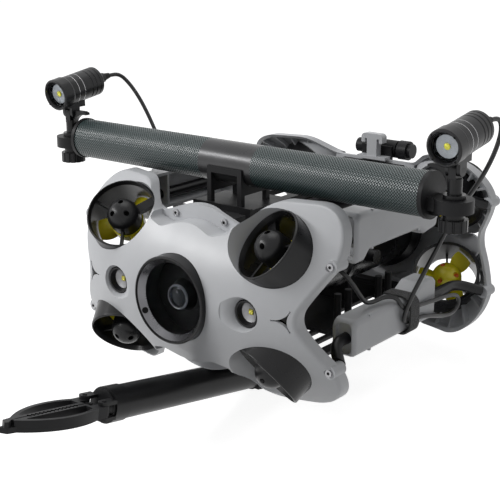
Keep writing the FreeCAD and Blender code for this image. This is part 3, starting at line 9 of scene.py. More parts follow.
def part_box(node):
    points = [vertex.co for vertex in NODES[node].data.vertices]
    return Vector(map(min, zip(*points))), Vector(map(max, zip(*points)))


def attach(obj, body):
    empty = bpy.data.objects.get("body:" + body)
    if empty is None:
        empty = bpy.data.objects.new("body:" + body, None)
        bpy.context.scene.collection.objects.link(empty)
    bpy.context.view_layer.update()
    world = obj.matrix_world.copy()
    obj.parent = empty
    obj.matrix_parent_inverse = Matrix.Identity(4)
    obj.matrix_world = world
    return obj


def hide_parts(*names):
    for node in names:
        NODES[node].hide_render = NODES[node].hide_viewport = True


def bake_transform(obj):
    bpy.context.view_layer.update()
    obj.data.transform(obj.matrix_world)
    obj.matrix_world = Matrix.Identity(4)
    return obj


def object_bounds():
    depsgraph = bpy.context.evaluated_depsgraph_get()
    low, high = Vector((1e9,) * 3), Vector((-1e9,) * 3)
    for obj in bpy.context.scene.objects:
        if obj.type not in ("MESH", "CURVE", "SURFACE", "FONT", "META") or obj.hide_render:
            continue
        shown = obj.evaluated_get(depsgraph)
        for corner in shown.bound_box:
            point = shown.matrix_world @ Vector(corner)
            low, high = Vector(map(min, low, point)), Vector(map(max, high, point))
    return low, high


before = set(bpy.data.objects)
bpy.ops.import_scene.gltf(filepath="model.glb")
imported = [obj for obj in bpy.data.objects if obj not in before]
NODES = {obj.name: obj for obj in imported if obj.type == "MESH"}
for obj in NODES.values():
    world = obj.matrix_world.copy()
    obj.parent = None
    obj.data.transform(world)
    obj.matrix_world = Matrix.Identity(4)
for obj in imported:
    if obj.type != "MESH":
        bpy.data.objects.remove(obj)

bl_info = {
    "name": "Underwater inspection vehicle looks",
    "version": (1, 0, 0),
    "blender": (4, 5, 0),
    "location": "3D View > Sidebar > Vehicle",
    "description": "Finishes and fine detail of a portable underwater inspection vehicle",
    "category": "Object",
}

CAD_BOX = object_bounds()
MM = 0.001
SIDES = ((1, "left"), (-1, "right"))
CORNERS = tuple((end, level, side) for end in ("bow", "stern") for level in ("upper", "lower")
                for side in ("left", "right"))

# Places of the CAD model that no node's box gives, in millimetres and degrees.
BODY_MIDDLE = 62.0                     # height of the body's middle above the tray's underside
LAMP_OUT = 203.0                       # light posts, sideways from the middle
LAMP_PIVOT = (-81.0, 119.0)            # tilt pin: along the vehicle, above the body's middle
LAMP_PITCH = 9.0                       # how far the floodlights look down at rest
LAMP_AXIS_UP = 21.0                    # lamp's axis above the tilt pin
LAMP_CABLE_EXIT = -43.0                # end of the lamp's gland, along its axis
LAMP_CABLE_STRAIGHT = 9.0              # run of cable straight out of the gland
CABLE_RADIUS = 1.9
DUCT_MOUTH = (78.0, -143.4, 54.6)      # middle of the upper left bow duct's mouth
DUCT_YAW = 25.3
DUCT_PITCH = 39.8
PROPELLER_REST = {("bow", "upper", "right"): -40.0, ("stern", "lower", "left"): 40.0,
                  ("bow", "upper", "left"): 25.0}
HUB_HOLE_OUT = 9.37                    # cores in the propeller's hub, from its axis
HUB_HOLE_DEPTH = -31.5                 # and from the duct's mouth
SHELL_SCREWS = ((26.0, 60.5, 132.8), (129.6, 42.7, 133.0))     # sideways, up, head's face
PORT_NOTCH_ANGLES = (208, 318)
FLOOD_BANDS = (7.0, 0.4, -6.4)         # bright rings along a floodlight
SHARP_EDGE = 32.0                      # edges that turn by more stay crisp


# ---------------------------------------------------------------- places
def at(x, y, z):
    """Point given in millimetres from the middle of the body."""
    return Vector((x, y, z + BODY_MIDDLE)) * MM


def duct_frame(end, level, side):
    """Placement of one duct: local +Z points out of its mouth."""
    yaw, pitch = math.radians(DUCT_YAW), math.radians(DUCT_PITCH)
    out = Vector((-math.sin(yaw) * math.cos(pitch), -math.cos(yaw) * math.cos(pitch),
                  math.sin(pitch)))
    turn = Vector((0, 0, 1)).rotation_difference(out).to_matrix().to_4x4()
    place = Matrix.Translation(Vector(DUCT_MOUTH) * MM) @ turn
    flips = (1 if side == "left" else -1, 1 if end == "bow" else -1,
             1 if level == "upper" else -1, 1)
    return Matrix.Translation((0, 0, BODY_MIDDLE * MM)) @ Matrix.Diagonal(flips) @ place


def lamp_frame(sign):
    """Placement of one floodlight: local +Z points forward along its axis."""
    y, z = LAMP_PIVOT
    pivot = Matrix.Translation(at(sign * LAMP_OUT, y, z + LAMP_AXIS_UP))
    pitch = Matrix.Rotation(math.radians(LAMP_PITCH), 4, "X")
    return pivot @ pitch @ Matrix.Rotation(math.radians(90), 4, "X")


# ---------------------------------------------------------------- finishes
class Finish:
    """One procedural material, with short calls for the nodes that make it."""

    def __init__(self, name, colour, roughness, **sockets):
        self.material = bpy.data.materials.new(name)
        self.material.use_nodes = True
        self.tree = self.material.node_tree
        self.shader = self.tree.nodes["Principled BSDF"]
        self.colour = tuple(colour[:3])
        self.roughness = roughness
        self.shader.inputs["Base Color"].default_value = (*self.colour, 1)
        self.shader.inputs["Roughness"].default_value = roughness
        for socket, value in sockets.items():
            words = socket.replace("_", " ").title().replace("Ior", "IOR")
            self.shader.inputs[words].default_value = value
        self.relief = None
        self.place = self.node("ShaderNodeTexCoord").outputs["Object"]

    def node(self, kind, **settings):
        made = self.tree.nodes.new(kind)
        for key, value in settings.items():
            setattr(made, key, value)
        return made

    def feed(self, source, socket):
        if hasattr(source, "links"):
            self.tree.links.new(source, socket)
        else:
            socket.default_value = source

    def maths(self, operation, first, second=0.0):
        made = self.node("ShaderNodeMath", operation=operation)
        for source, socket in zip((first, second), made.inputs):
            self.feed(source, socket)
        return made.outputs[0]

    def noise(self, scale, detail=3.0, stretch=None):
        made = self.node("ShaderNodeTexNoise")
        made.inputs["Scale"].default_value = scale
        made.inputs["Detail"].default_value = detail
        made.inputs["Roughness"].default_value = 0.55
        source = self.place
        if stretch:
            mapping = self.node("ShaderNodeMapping")
            mapping.inputs["Scale"].default_value = stretch
            self.feed(source, mapping.inputs["Vector"])
            source = mapping.outputs[0]
        self.feed(source, made.inputs["Vector"])
        return made.outputs["Fac"]

    def cells(self, scale):
        made = self.node("ShaderNodeTexVoronoi", feature="F1")
        made.inputs["Scale"].default_value = scale
        self.feed(self.place, made.inputs["Vector"])
        return made.outputs["Distance"]

    def spread(self, source, low, high, to_low=0.0, to_high=1.0):
        made = self.node("ShaderNodeMapRange", interpolation_type="SMOOTHSTEP")
        for value, socket in zip((source, low, high, to_low, to_high), made.inputs):
            self.feed(value, socket)
        return made.outputs[0]

    def mixed(self, factor, first, second):
        made = self.node("ShaderNodeMix", data_type="RGBA")
        self.feed(factor, made.inputs["Factor"])
        for value, socket in ((first, made.inputs[6]), (second, made.inputs[7])):
            self.feed(value if hasattr(value, "links") else (*tuple(value)[:3], 1), socket)
        return made.outputs[2]

    def axes(self):
        split = self.node("ShaderNodeSeparateXYZ")
        self.feed(self.place, split.inputs[0])
        return split.outputs

    def paint(self, colour):
        self.feed(colour, self.shader.inputs["Base Color"])
        return self

    def gloss(self, value):
        self.feed(value, self.shader.inputs["Roughness"])
        return self

    def bump(self, height, depth):
        made = self.node("ShaderNodeBump")
        made.inputs["Strength"].default_value = 1.0
        made.inputs["Distance"].default_value = depth
        self.feed(height, made.inputs["Height"])
        if self.relief:
            self.feed(self.relief, made.inputs["Normal"])
        self.relief = made.outputs[0]
        self.feed(self.relief, self.shader.inputs["Normal"])
        return self

    def mottled(self, amount, scale):
        """Small drift of the colour, as any moulded or sprayed surface has."""
        dark = tuple(c * (1 - amount) for c in self.colour)
        light = tuple(min(1.0, c * (1 + amount)) for c in self.colour)
        return self.paint(self.mixed(self.spread(self.noise(scale, 4.0), 0.3, 0.7), dark, light))

    def smudged(self, amount, scale):
        """Handling marks: the gloss drifts over the surface."""
        low, high = self.roughness - amount, self.roughness + amount
        drift = self.noise(scale, 5.0)
        return self.gloss(self.spread(drift, 0.3, 0.7, max(0.02, low), min(1.0, high)))


def moulded(name, colour, roughness, grain=900.0, depth=0.00002, drift=0.05, **sockets):
    made = Finish(name, colour, roughness, **sockets)
    made.mottled(drift, 40.0).smudged(0.05, 25.0)
    made.bump(made.noise(grain, 2.0), depth)
    return made


def shell_finish(looks):
    made = moulded("shell_satin_paint", looks.shell_colour, 0.42, 1600.0, 0.000012, 0.02,
                   coat_weight=0.15, coat_roughness=0.25)
    made.bump(made.noise(14.0, 2.0), 0.00015)
    return made.material


def black_moulding(looks):
    made = moulded("black_moulding", looks.black_colour, 0.46, 1300.0, 0.00003, 0.18,
                   specular_ior_level=0.2)
    return made.material


def duct_moulding(looks):
    grey = tuple(c * 1.1 for c in looks.black_colour)
    made = moulded("duct_moulding", grey, 0.3, 1100.0, 0.00003, 0.15, specular_ior_level=0.26)
    return made.material


def yellow_moulding(looks):
    made = moulded("propeller_moulding", looks.propeller_colour, 0.34, 1500.0, 0.00001, 0.04,
                   coat_weight=0.3, coat_roughness=0.15, subsurface_weight=0.08,
                   subsurface_scale=0.002)
    return made.material


def anodised(looks, name="black_anodised", level=1.0, roughness=0.34):
    colour = tuple(c * level for c in looks.black_colour)
    made = Finish(name, colour, roughness, specular_ior_level=0.25)
    made.mottled(0.12, 60.0).smudged(0.05, 40.0)
    made.bump(made.noise(2600.0, 2.0), 0.000008)
    return made.material


def woven_carbon(looks):
    """Bias weave wrapped round the light bar."""
    made = Finish("woven_carbon", looks.carbon_dark, 0.34)
    low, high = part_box("bar_sleeve")
    y0, z0 = (low.y + high.y) / 2, (low.z + high.z) / 2
    radius = (high.z - low.z) / 2
    x, y, z = made.axes()
    turn = made.maths("ARCTAN2", made.maths("SUBTRACT", z, z0), made.maths("SUBTRACT", y, y0))
    pitch = looks.tow_width * math.sqrt(2)
    around = round(2 * math.pi * radius / pitch / 2) * 2
    across = made.maths("MULTIPLY", turn, around / (2 * math.pi))
    along = made.maths("DIVIDE", x, pitch)
    first = made.maths("ADD", along, across)
    second = made.maths("SUBTRACT", along, across)
    cells = [made.maths("FLOOR", way) for way in (first, second)]
    over = made.maths("FLOORED_MODULO", made.maths("ADD", *cells), 2.0)
    crowns = []
    for way in (first, second):
        off = made.maths("SUBTRACT", made.maths("FRACT", way), 0.5)
        square = made.maths("MULTIPLY", off, off)
        crowns.append(made.maths("SUBTRACT", 1.0, made.maths("MULTIPLY", square, 4.0)))
    height = made.node("ShaderNodeMix", data_type="FLOAT")
    for source, socket in zip((over, *crowns), (height.inputs[index] for index in (0, 2, 3))):
        made.feed(source, socket)
    height = height.outputs[0]
    corner = made.maths("MULTIPLY", *crowns)
    fibres = made.noise(5200.0, 2.0, stretch=(1.0, 0.3, 0.3))
    shaded = tuple(0.75 * c for c in looks.carbon_light)
    tow = made.mixed(made.spread(fibres, 0.3, 0.7), looks.carbon_light, shaded)
    made.paint(made.mixed(made.spread(corner, 0.12, 0.62), looks.carbon_dark, tow))
    made.bump(height, 0.00022)
    made.gloss(made.spread(corner, 0.1, 0.7, 0.6, 0.3))
    made.feed(made.spread(corner, 0.1, 0.6, 0.1, 1.0), made.shader.inputs["Specular IOR Level"])
    return made.material


def satin_sleeve(looks):
    made = Finish("sleeve_satin", looks.sleeve_colour, 0.3, metallic=0.45)
    made.mottled(0.06, 30.0).smudged(0.04, 30.0)
    made.bump(made.noise(400.0, 3.0, stretch=(0.2, 1.0, 1.0)), 0.00001)
    return made.material


def cable_jacket(looks):
    made = Finish("cable_jacket", looks.black_colour, 0.36, specular_ior_level=0.4)
    made.mottled(0.15, 90.0).smudged(0.06, 60.0)
    made.bump(made.noise(1400.0, 2.0), 0.00002)
    return made.material


def strap_webbing(looks):
    made = Finish("strap_webbing", looks.black_colour, 0.85, sheen_weight=0.4, sheen_roughness=0.5)
    x, y, z = made.axes()
    rib = made.maths("SINE", made.maths("MULTIPLY", y, 2 * math.pi / 0.0011))
    pick = made.maths("SINE", made.maths("MULTIPLY", made.maths("ADD", z, x), 2 * math.pi / 0.0009))
    cloth = made.maths("MULTIPLY", rib, pick)
    made.mottled(0.3, 500.0)
    made.bump(cloth, 0.0002).bump(made.noise(2500.0, 3.0), 0.0001)
    return made.material


def steel(looks):
    made = Finish("stainless_steel", looks.steel_colour, 0.28, metallic=1.0)
    made.smudged(0.08, 900.0)
    made.bump(made.noise(3000.0, 2.0), 0.00001)
    return made.material


def clear_window(looks, name="clear_window", tint=(0.9, 0.93, 0.95)):
    made = Finish(name, tint, 0.03, transmission_weight=1.0, ior=1.03)
    made.smudged(0.02, 60.0)
    made.bump(made.noise(20.0, 1.0), 0.00001)
    return made.material


def reflector(looks):
    """Frosted cone round a lamp's chip."""
    made = Finish("lamp_reflector", (0.33, 0.33, 0.34), 0.45, metallic=0.5)
    made.mottled(0.08, 300.0)
    made.bump(made.noise(1800.0, 2.0), 0.00003)
    return made.material


def phosphor(looks):
    made = Finish("led_phosphor", looks.phosphor_colour, 0.3, coat_weight=0.6, coat_roughness=0.1)
    made.mottled(0.12, 900.0)
    made.bump(made.cells(1500.0), 0.00004)
    return made.material


# Extra-dark black of the camera's inside; the same finish is also painted shade in hollows, at the
# port notches and the shell screw drives.
def black_and_hollow_shade(looks):
    made = Finish("camera_inside_and_hollow_shade", tuple(0.25 * c for c in looks.black_colour), 0.55,
                  specular_ior_level=0.12)
    made.mottled(0.2, 200.0)
    made.bump(made.noise(900.0, 2.0), 0.00002)
    return made.material


def lens_coating(looks):
    """Front element of the camera's lens."""
    made = Finish("lens_coating", (0.002, 0.0025, 0.004), 0.05, specular_ior_level=0.22)
    made.bump(made.noise(200.0, 1.0), 0.000002)
    return made.material


def turned_bezel(looks):
    """Bare grey metal of the camera port's bevel."""
    made = Finish("turned_bezel", (0.17, 0.17, 0.18), 0.3, metallic=0.9)
    made.mottled(0.06, 80.0).smudged(0.05, 60.0)
    made.bump(made.noise(700.0, 3.0, stretch=(1.0, 0.1, 1.0)), 0.00001)
    return made.material


def bright_ring(looks):
    made = Finish("bright_ring", (0.6, 0.6, 0.61), 0.25, metallic=1.0)
    made.smudged(0.05, 300.0)
    made.bump(made.noise(2500.0, 2.0), 0.000005)
    return made.material


def orange_inside(looks):
    made = Finish("hub_core", (0.72, 0.16, 0.02), 0.5)
    made.mottled(0.2, 700.0)
    made.bump(made.noise(1500.0), 0.00003)
    return made.material


def machined_grooves(looks):
    """Black anodised lamp body with turned grooves; their bright metal is added as separate rings.
    """
    made = Finish("lamp_body_turned", tuple(1.8 * c for c in looks.black_colour), 0.34,
                  specular_ior_level=0.3)
    made.mottled(0.12, 90.0).smudged(0.05, 60.0)
    made.bump(made.noise(2200.0, 2.0), 0.00001)
    return made.material


# ---------------------------------------------------------------- mesh helpers
def add_piece(name, mesh, finish, body="vehicle"):
    piece = bpy.data.objects.new(name, mesh)
    bpy.context.scene.collection.objects.link(piece)
    mesh.materials.clear()
    mesh.materials.append(finish)
    mesh.shade_smooth()
    mesh.set_sharp_from_angle(angle=math.radians(SHARP_EDGE))
    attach(piece, body)
    return piece


def facing(origin, direction):
    """Matrix that puts a local +Z form at origin, looking along direction."""
    turn = Vector(direction).normalized().to_track_quat("Z", "Y").to_matrix().to_4x4()
    return Matrix.Translation(Vector(origin)) @ turn


def mesh_from(build, *places):
    """Mesh of one form built by `build(bmesh)` and repeated at each matrix."""
    form = bmesh.new()
    build(form)
    whole = bmesh.new()
    plain = bpy.data.meshes.new("form")
    form.to_mesh(plain)
    form.free()
    for place in places:
        start = len(whole.verts)
        whole.from_mesh(plain)
        whole.verts.ensure_lookup_table()
        bmesh.ops.transform(whole, matrix=place, verts=whole.verts[start:])
    bmesh.ops.recalc_face_normals(whole, faces=whole.faces)
    mesh = bpy.data.meshes.new("form")
    whole.to_mesh(mesh)
    whole.free()
    bpy.data.meshes.remove(plain)
    return mesh


def lathe(form, profile, steps=48):
    """Turns (radius, height) points about local Z; ends on the axis close the form."""
    rings = []
    for radius, height in profile:
        if radius < 1e-7:
            rings.append([form.verts.new((0, 0, height))])
        else:
            rings.append([form.verts.new((radius * math.cos(2 * math.pi * i / steps),
                                          radius * math.sin(2 * math.pi * i / steps), height))
                          for i in range(steps)])
    for lower, upper in zip(rings, rings[1:]):
        for i in range(steps):
            j = (i + 1) % steps
            corners = [lower[i % len(lower)], lower[j % len(lower)],
                       upper[j % len(upper)], upper[i % len(upper)]]
            unique = list(dict.fromkeys(corners))
            if len(unique) > 2:
                form.faces.new(unique)


def dome(radius, rise, parts, base=0.0):
    """Profile of a quarter ellipse from its rim to the axis."""
    angles = (math.pi / 2 * i / parts for i in range(parts))
    return [(radius * math.cos(a), rise * math.sin(a) + base) for a in angles] + [(0, rise + base)]


def turned(name, profile, origin, direction, finish, body="vehicle", steps=48):
    """Piece turned from a profile, standing at origin and looking along direction."""
    mesh = mesh_from(lambda form: lathe(form, profile, steps), facing(origin, direction))
    return add_piece(name, mesh, finish, body)


def rounded_box(form, size, radius, segments=2):
    made = bmesh.ops.create_cube(form, size=1.0)["verts"]
    bmesh.ops.scale(form, vec=size, verts=made)
    edges = list({e for v in made for e in v.link_edges})
    bmesh.ops.bevel(form, geom=edges, offset=radius, segments=segments, affect="EDGES")


def dress(material, *names):
    for name in names:
        mesh = NODES[name].data
        mesh.materials.clear()
        mesh.materials.append(material)


def route_line(name, points):
    """Points along the smooth curve of a cable's route, in metres."""
    curve = bpy.data.curves.new(name, "CURVE")
    curve.dimensions = "3D"
    spline = curve.splines.new("NURBS")
    spline.points.add(len(points) - 1)
    for spot, point in zip(spline.points, points):
        spot.co = (*point, 1)
    spline.order_u = 3
    spline.use_endpoint_u = True
    spline.resolution_u = 8
    holder = bpy.data.objects.new(name, curve)
    bpy.context.scene.collection.objects.link(holder)
    bpy.context.view_layer.update()
    graph = bpy.context.evaluated_depsgraph_get()
    line = bpy.data.meshes.new_from_object(holder.evaluated_get(graph))
    spots = [vertex.co.copy() for vertex in line.vertices]
    bpy.data.objects.remove(holder)
    bpy.data.curves.remove(curve)
    bpy.data.meshes.remove(line)
    return spots


def tube_rings(spots, radius, steps=14):
    """Rings of points round a line, turning with it and never twisting."""
    rings = []
    side = None
    for i, spot in enumerate(spots):
        ahead = (spots[min(i + 1, len(spots) - 1)] - spots[max(i - 1, 0)]).normalized()
        if side is None:
            side = ahead.orthogonal()
        side = (side - ahead * side.dot(ahead)).normalized()
        across = ahead.cross(side)
        rings.append([spot + radius * (side * math.cos(2 * math.pi * k / steps)
                                       + across * math.sin(2 * math.pi * k / steps))
                      for k in range(steps)])
    return rings


def tube_piece(name, rings, finish):
    steps = len(rings[0])
    verts = [spot for ring in rings for spot in ring]
    faces = [(i * steps + k, i * steps + (k + 1) % steps, (i + 1) * steps + (k + 1) % steps,
              (i + 1) * steps + k) for i in range(len(rings) - 1) for k in range(steps)]
    faces += [tuple(reversed(range(steps))), tuple(range(len(verts) - steps, len(verts)))]
    mesh = bpy.data.meshes.new(name)
    mesh.from_pydata(verts, [], faces)
    mesh.materials.append(finish)
    mesh.shade_smooth()
    piece = bpy.data.objects.new(name, mesh)
    bpy.context.scene.collection.objects.link(piece)
    return piece


# ---------------------------------------------------------------- sizes and colours
def colour_property(name, value, words):
    return FloatVectorProperty(name=name, description=words, default=value, size=3, min=0, max=1,
                               subtype="COLOR")


class VehicleLooks(bpy.types.PropertyGroup):
    shell_colour: colour_property("Shell", (0.56, 0.57, 0.59), "Light grey of the shells and beams")
    black_colour: colour_property("Black", (0.011, 0.011, 0.012), "Black of mouldings and metal")
    propeller_colour: colour_property("Propellers", (0.92, 0.8, 0.02), "Bright propeller colour")
    carbon_dark: colour_property("Carbon dark", (0.002, 0.004, 0.005), "Dark gaps of the weave")
    carbon_light: colour_property("Carbon light", (0.036, 0.066, 0.066), "Light tows of the weave")
    sleeve_colour: colour_property("Sleeve", (0.055, 0.055, 0.057), "Joint sleeve of the light bar")
    steel_colour: colour_property("Steel", (0.36, 0.36, 0.37), "Screws")
    phosphor_colour: colour_property("LED", (0.62, 0.55, 0.02), "Phosphor of the lamps")
    tow_width: FloatProperty(name="Tow width", description="Width of one tow of the weave",
                             default=0.00177, min=0.0008, max=0.004, unit="LENGTH", precision=5)


class StageLooks(bpy.types.PropertyGroup):
    floor_size: FloatProperty(name="Floor", description="Side of the plain floor", default=40.0,
                              min=2.0, max=100.0, unit="LENGTH")
    lens: FloatProperty(name="Lens", description="Focal length of the camera", default=82.75,
                        min=20.0, max=200.0, subtype="DISTANCE_CAMERA")
    world_level: FloatProperty(name="Sky level", description="Strength of the even light",
                               default=0.272, min=0.0, max=2.0)


# Routes of the two lamp cables, from behind the lamp to the hull, in millimetres from the middle
# of the body. The joins are where the upper length ends and where the lower one holds still.
LEFT_CABLE = ((205, -19, 147.5), (204.5, -14, 138), (202.5, -17, 124), (197, -20, 108),
              (186, -16, 91), (171, -8, 73), (156, -1, 52), (144, 1, 28), (135, -4, 6),
              (129, -11, -13),
              (125.6, -16, -28), (123.7, -13, -36.5), (123.7, -1, -38.5), (124.5, 15, -38.5),
              (125.5, 34, -43), (125.9, 52, -48), (125.9, 67, -50), (125.9, 78, -45),
              (125.9, 77, -36), (125.9, 64, -31.5), (125.7, 45, -29.5), (124.7, 25, -28.5),
              (123.7, 8, -27), (123.7, -7, -26.6), (123.9, -17, -21.5), (120.5, -21, -12.5),
              (113, -27, -11.6), (110, -39, -13.6), (108.6, -50, -12.5), (106.5, -57, -3),
              (103, -63, 8), (95, -67.5, 18), (80, -66.5, 21.5), (63, -66, 20), (48, -66, 20))
LEFT_CABLE_JOINS = ((203.6, -15.5, 131), (144, 1, 28))
RIGHT_CABLE = ((-201, -18, 148), (-195.5, -11, 139), (-187, -7, 126), (-177, -6, 111),
               (-164.5, -8, 94), (-151, -12, 78), (-138, -17, 63), (-129.5, -23, 47),
               (-124.5, -28, 31), (-115, -31, 18.5), (-99, -30, 11.5), (-81, -25, 10.4),
               (-64, -22, 10), (-48, -22, 10))
RIGHT_CABLE_JOINS = ((-191, -9, 132), (-138, -17, 63))


# ---------------------------------------------------------------- stage
class VEHICLE_OT_stage(bpy.types.Operator):
    """Floor, soft lights, sky and camera"""
    bl_idname = "vehicle.stage"
    bl_label = "Stage"

    def execute(self, context):
        looks = context.scene.vehicle_stage
        low, high = CAD_BOX
        half = looks.floor_size / 2
        mesh = bpy.data.meshes.new("floor")
        corners = [(-half, -half, 0), (half, -half, 0), (half, half, 0), (-half, half, 0)]
        mesh.from_pydata(corners, [], [(0, 1, 2, 3)])
        floor = bpy.data.objects.new("floor", mesh)
        floor.location.z = low.z - 0.0005
        context.scene.collection.objects.link(floor)
        mesh.materials.append(self.floor_finish())
        self.sky(context, looks.world_level)
        centre = (low + high) / 2
        self.softbox("strip", centre + Vector((-1.3, -1.45, 1.15)), centre, (1.7, 0.26), 27.0)
        self.softbox("overhead", centre + Vector((-0.2, 0.3, 2.2)), centre, (1.4, 1.4), 12.0)
        lens = bpy.data.cameras.new("camera")
        lens.lens = looks.lens
        lens.sensor_width = 36.0
        lens.clip_start, lens.clip_end = 0.05, 60.0
        camera = bpy.data.objects.new("camera", lens)
        context.scene.collection.objects.link(camera)
        target = Vector((-0.05419, 0.0, 0.054386))
        azimuth, rise, roll = math.radians(38.892), math.radians(16.421), math.radians(-0.283)
        back = Vector((math.sin(azimuth) * math.cos(rise), -math.cos(azimuth) * math.cos(rise),
                       math.sin(rise)))
        camera.location = target + back * 1.083891
        turn = (-back).to_track_quat("-Z", "Y").to_matrix().to_4x4()
        tilt = Matrix.Rotation(roll, 4, "Z")
        camera.matrix_world = Matrix.Translation(camera.location) @ turn @ tilt
        context.scene.camera = camera
        context.scene.view_settings.view_transform = "Standard"
        return {"FINISHED"}

    def floor_finish(self):
        made = bpy.data.materials.new("plain_floor")
        made.use_nodes = True
        tree = made.node_tree
        tree.nodes.clear()
        seen = self.seen(tree)
        diffuse = tree.nodes.new("ShaderNodeBsdfDiffuse")
        diffuse.inputs["Color"].default_value = (0.5, 0.5, 0.5, 1)
        glow = tree.nodes.new("ShaderNodeEmission")
        level = tree.nodes.new("ShaderNodeMath")
        level.operation = "MULTIPLY"
        level.inputs[1].default_value = 0.9
        tree.links.new(seen, level.inputs[0])
        tree.links.new(level.outputs[0], glow.inputs["Strength"])
        both = tree.nodes.new("ShaderNodeAddShader")
        tree.links.new(diffuse.outputs[0], both.inputs[0])
        tree.links.new(glow.outputs[0], both.inputs[1])
        out = tree.nodes.new("ShaderNodeOutputMaterial")
        tree.links.new(both.outputs[0], out.inputs["Surface"])
        return made

    def seen(self, tree):
        """1 where the eye, a reflection or a window sees the surface."""
        path = tree.nodes.new("ShaderNodeLightPath")
        total = path.outputs["Is Camera Ray"]
        for name in ("Is Glossy Ray", "Is Transmission Ray"):
            both = tree.nodes.new("ShaderNodeMath")
            both.operation = "MAXIMUM"
            tree.links.new(total, both.inputs[0])
            tree.links.new(path.outputs[name], both.inputs[1])
            total = both.outputs[0]
        return total

    def sky(self, context, level):
        world = bpy.data.worlds.new("plain_sky")
        context.scene.world = world
        world.use_nodes = True
        tree = world.node_tree
        tree.nodes.clear()
        lit = tree.nodes.new("ShaderNodeMix")
        lit.inputs[2].default_value = level
        lit.inputs[3].default_value = 1.0
        tree.links.new(self.seen(tree), lit.inputs[0])
        back = tree.nodes.new("ShaderNodeBackground")
        back.inputs["Color"].default_value = (1, 1, 1, 1)
        tree.links.new(lit.outputs[0], back.inputs["Strength"])
        out = tree.nodes.new("ShaderNodeOutputWorld")
        tree.links.new(back.outputs[0], out.inputs["Surface"])

    def softbox(self, name, spot, target, size, power):
        lamp = bpy.data.lights.new(name, "AREA")
        lamp.shape = "RECTANGLE"
        lamp.size, lamp.size_y = size
        lamp.energy = power
        made = bpy.data.objects.new(name, lamp)
        made.location = spot
        made.rotation_mode = "QUATERNION"
        made.rotation_quaternion = (target - spot).to_track_quat("-Z", "Y")
        bpy.context.scene.collection.objects.link(made)


# ---------------------------------------------------------------- pieces
class VEHICLE_OT_shells(bpy.types.Operator):
    """Satin grey shells and side beams"""
    bl_idname = "vehicle.shells"
    bl_label = "Shells and beams"

    def execute(self, context):
        looks = context.scene.vehicle_looks
        dress(shell_finish(looks), "bow_shell", "stern_shell", "upper_beam_left",
              "upper_beam_right", "lower_beam_left", "lower_beam_right", "tow_hook")
        return {"FINISHED"}


class VEHICLE_OT_thrusters(bpy.types.Operator):
    """Ducts, motors and propellers"""
    bl_idname = "vehicle.thrusters"
    bl_label = "Thrusters"

    def execute(self, context):
        looks = context.scene.vehicle_looks
        corners = ["_".join(corner) for corner in CORNERS]
        dress(duct_moulding(looks), *["duct_" + name for name in corners])
        dress(yellow_moulding(looks), *["propeller_" + name for name in corners])
        dress(anodised(looks, "motor_can", 1.4), "thruster_motors")
        core = orange_inside(looks)
        for corner in CORNERS:
            place = duct_frame(*corner)
            rest = PROPELLER_REST.get(corner, 0.0)
            out = place.to_3x3() @ Vector((0, 0, -1))
            for index in range(3):
                angle = math.radians(60 + 120 * index + rest)
                spot = place @ Vector((HUB_HOLE_OUT * MM * math.cos(angle),
                                       HUB_HOLE_OUT * MM * math.sin(angle), HUB_HOLE_DEPTH * MM))
                turned("hub_core_%s_%d" % ("_".join(corner), index),
                       [(0, -0.003), (0.00245, -0.003), (0.00245, 0.0), (0, 0.0006)],
                       spot, out, core, "propeller_" + "_".join(corner), steps=20)
        return {"FINISHED"}


class VEHICLE_OT_camera_port(bpy.types.Operator):
    """Camera ring, window and lens"""
    bl_idname = "vehicle.camera_port"
    bl_label = "Camera port"

    def execute(self, context):
        looks = context.scene.vehicle_looks
        black = anodised(looks, "camera_ring_anodised", 1.2, 0.36)
        dress(black, "camera_ring")
        dress(black_and_hollow_shade(looks), "camera_module")
        dress(clear_window(looks), "camera_window")
        forward = (0, -1, 0)
        window_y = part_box("camera_window")[0].y
        lip_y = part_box("camera_ring")[0].y
        centre = Vector((0, 0, BODY_MIDDLE * MM))
        rim = [(0.0339, -0.0011), (0.0300, -0.0066), (0.0300, -0.0068), (0.0341, -0.0012)]
        turned("port_bevel", [(r, h + 0.0001) for r, h in rim], centre + Vector((0, lip_y, 0)),
               forward, turned_bezel(looks), steps=96)
        # Thin dark discs on the bevel where its two notches are: painted shade of the notches'
        # hollows.
        notch_shade = black_and_hollow_shade(looks)
        for index, angle in enumerate(PORT_NOTCH_ANGLES):
            spin = math.radians(angle)
            spot = centre + Vector((0.0322 * math.cos(spin), lip_y + 0.0036,
                                    0.0322 * math.sin(spin)))
            size = 0.0026 - 0.0008 * index
            tilt = Vector((-0.8 * math.cos(spin), -0.6, -0.8 * math.sin(spin)))
            turned("port_notch_%d" % index, [(0, 0.0006), (size, 0.0006), (size, 0), (0, 0)],
                   spot, tilt, notch_shade, steps=20)
        lens_y = window_y + 0.0046
        turned("lens_barrel",
               [(0.0105, -0.004), (0.0105, 0.0004), (0.0098, 0.0009), (0.0089, 0.0004),
                (0.0086, -0.0012), (0.0086, -0.004)],
               centre + Vector((0, lens_y, 0)), forward, anodised(looks, "lens_ring", 9.0, 0.3),
               steps=64)
        turned("lens_glass", dome(0.0086, 0.0030, 10, -0.0016), centre + Vector((0, lens_y, 0)),
               forward, lens_coating(looks), steps=64)
        turned("lens_step",
               [(0.0050, -0.0011), (0.0050, 0.0011), (0.0046, 0.00135), (0.0042, 0.0011),
                (0.0042, -0.0011)],
               centre + Vector((0, lens_y, 0)), forward, lens_coating(looks))
        return {"FINISHED"}


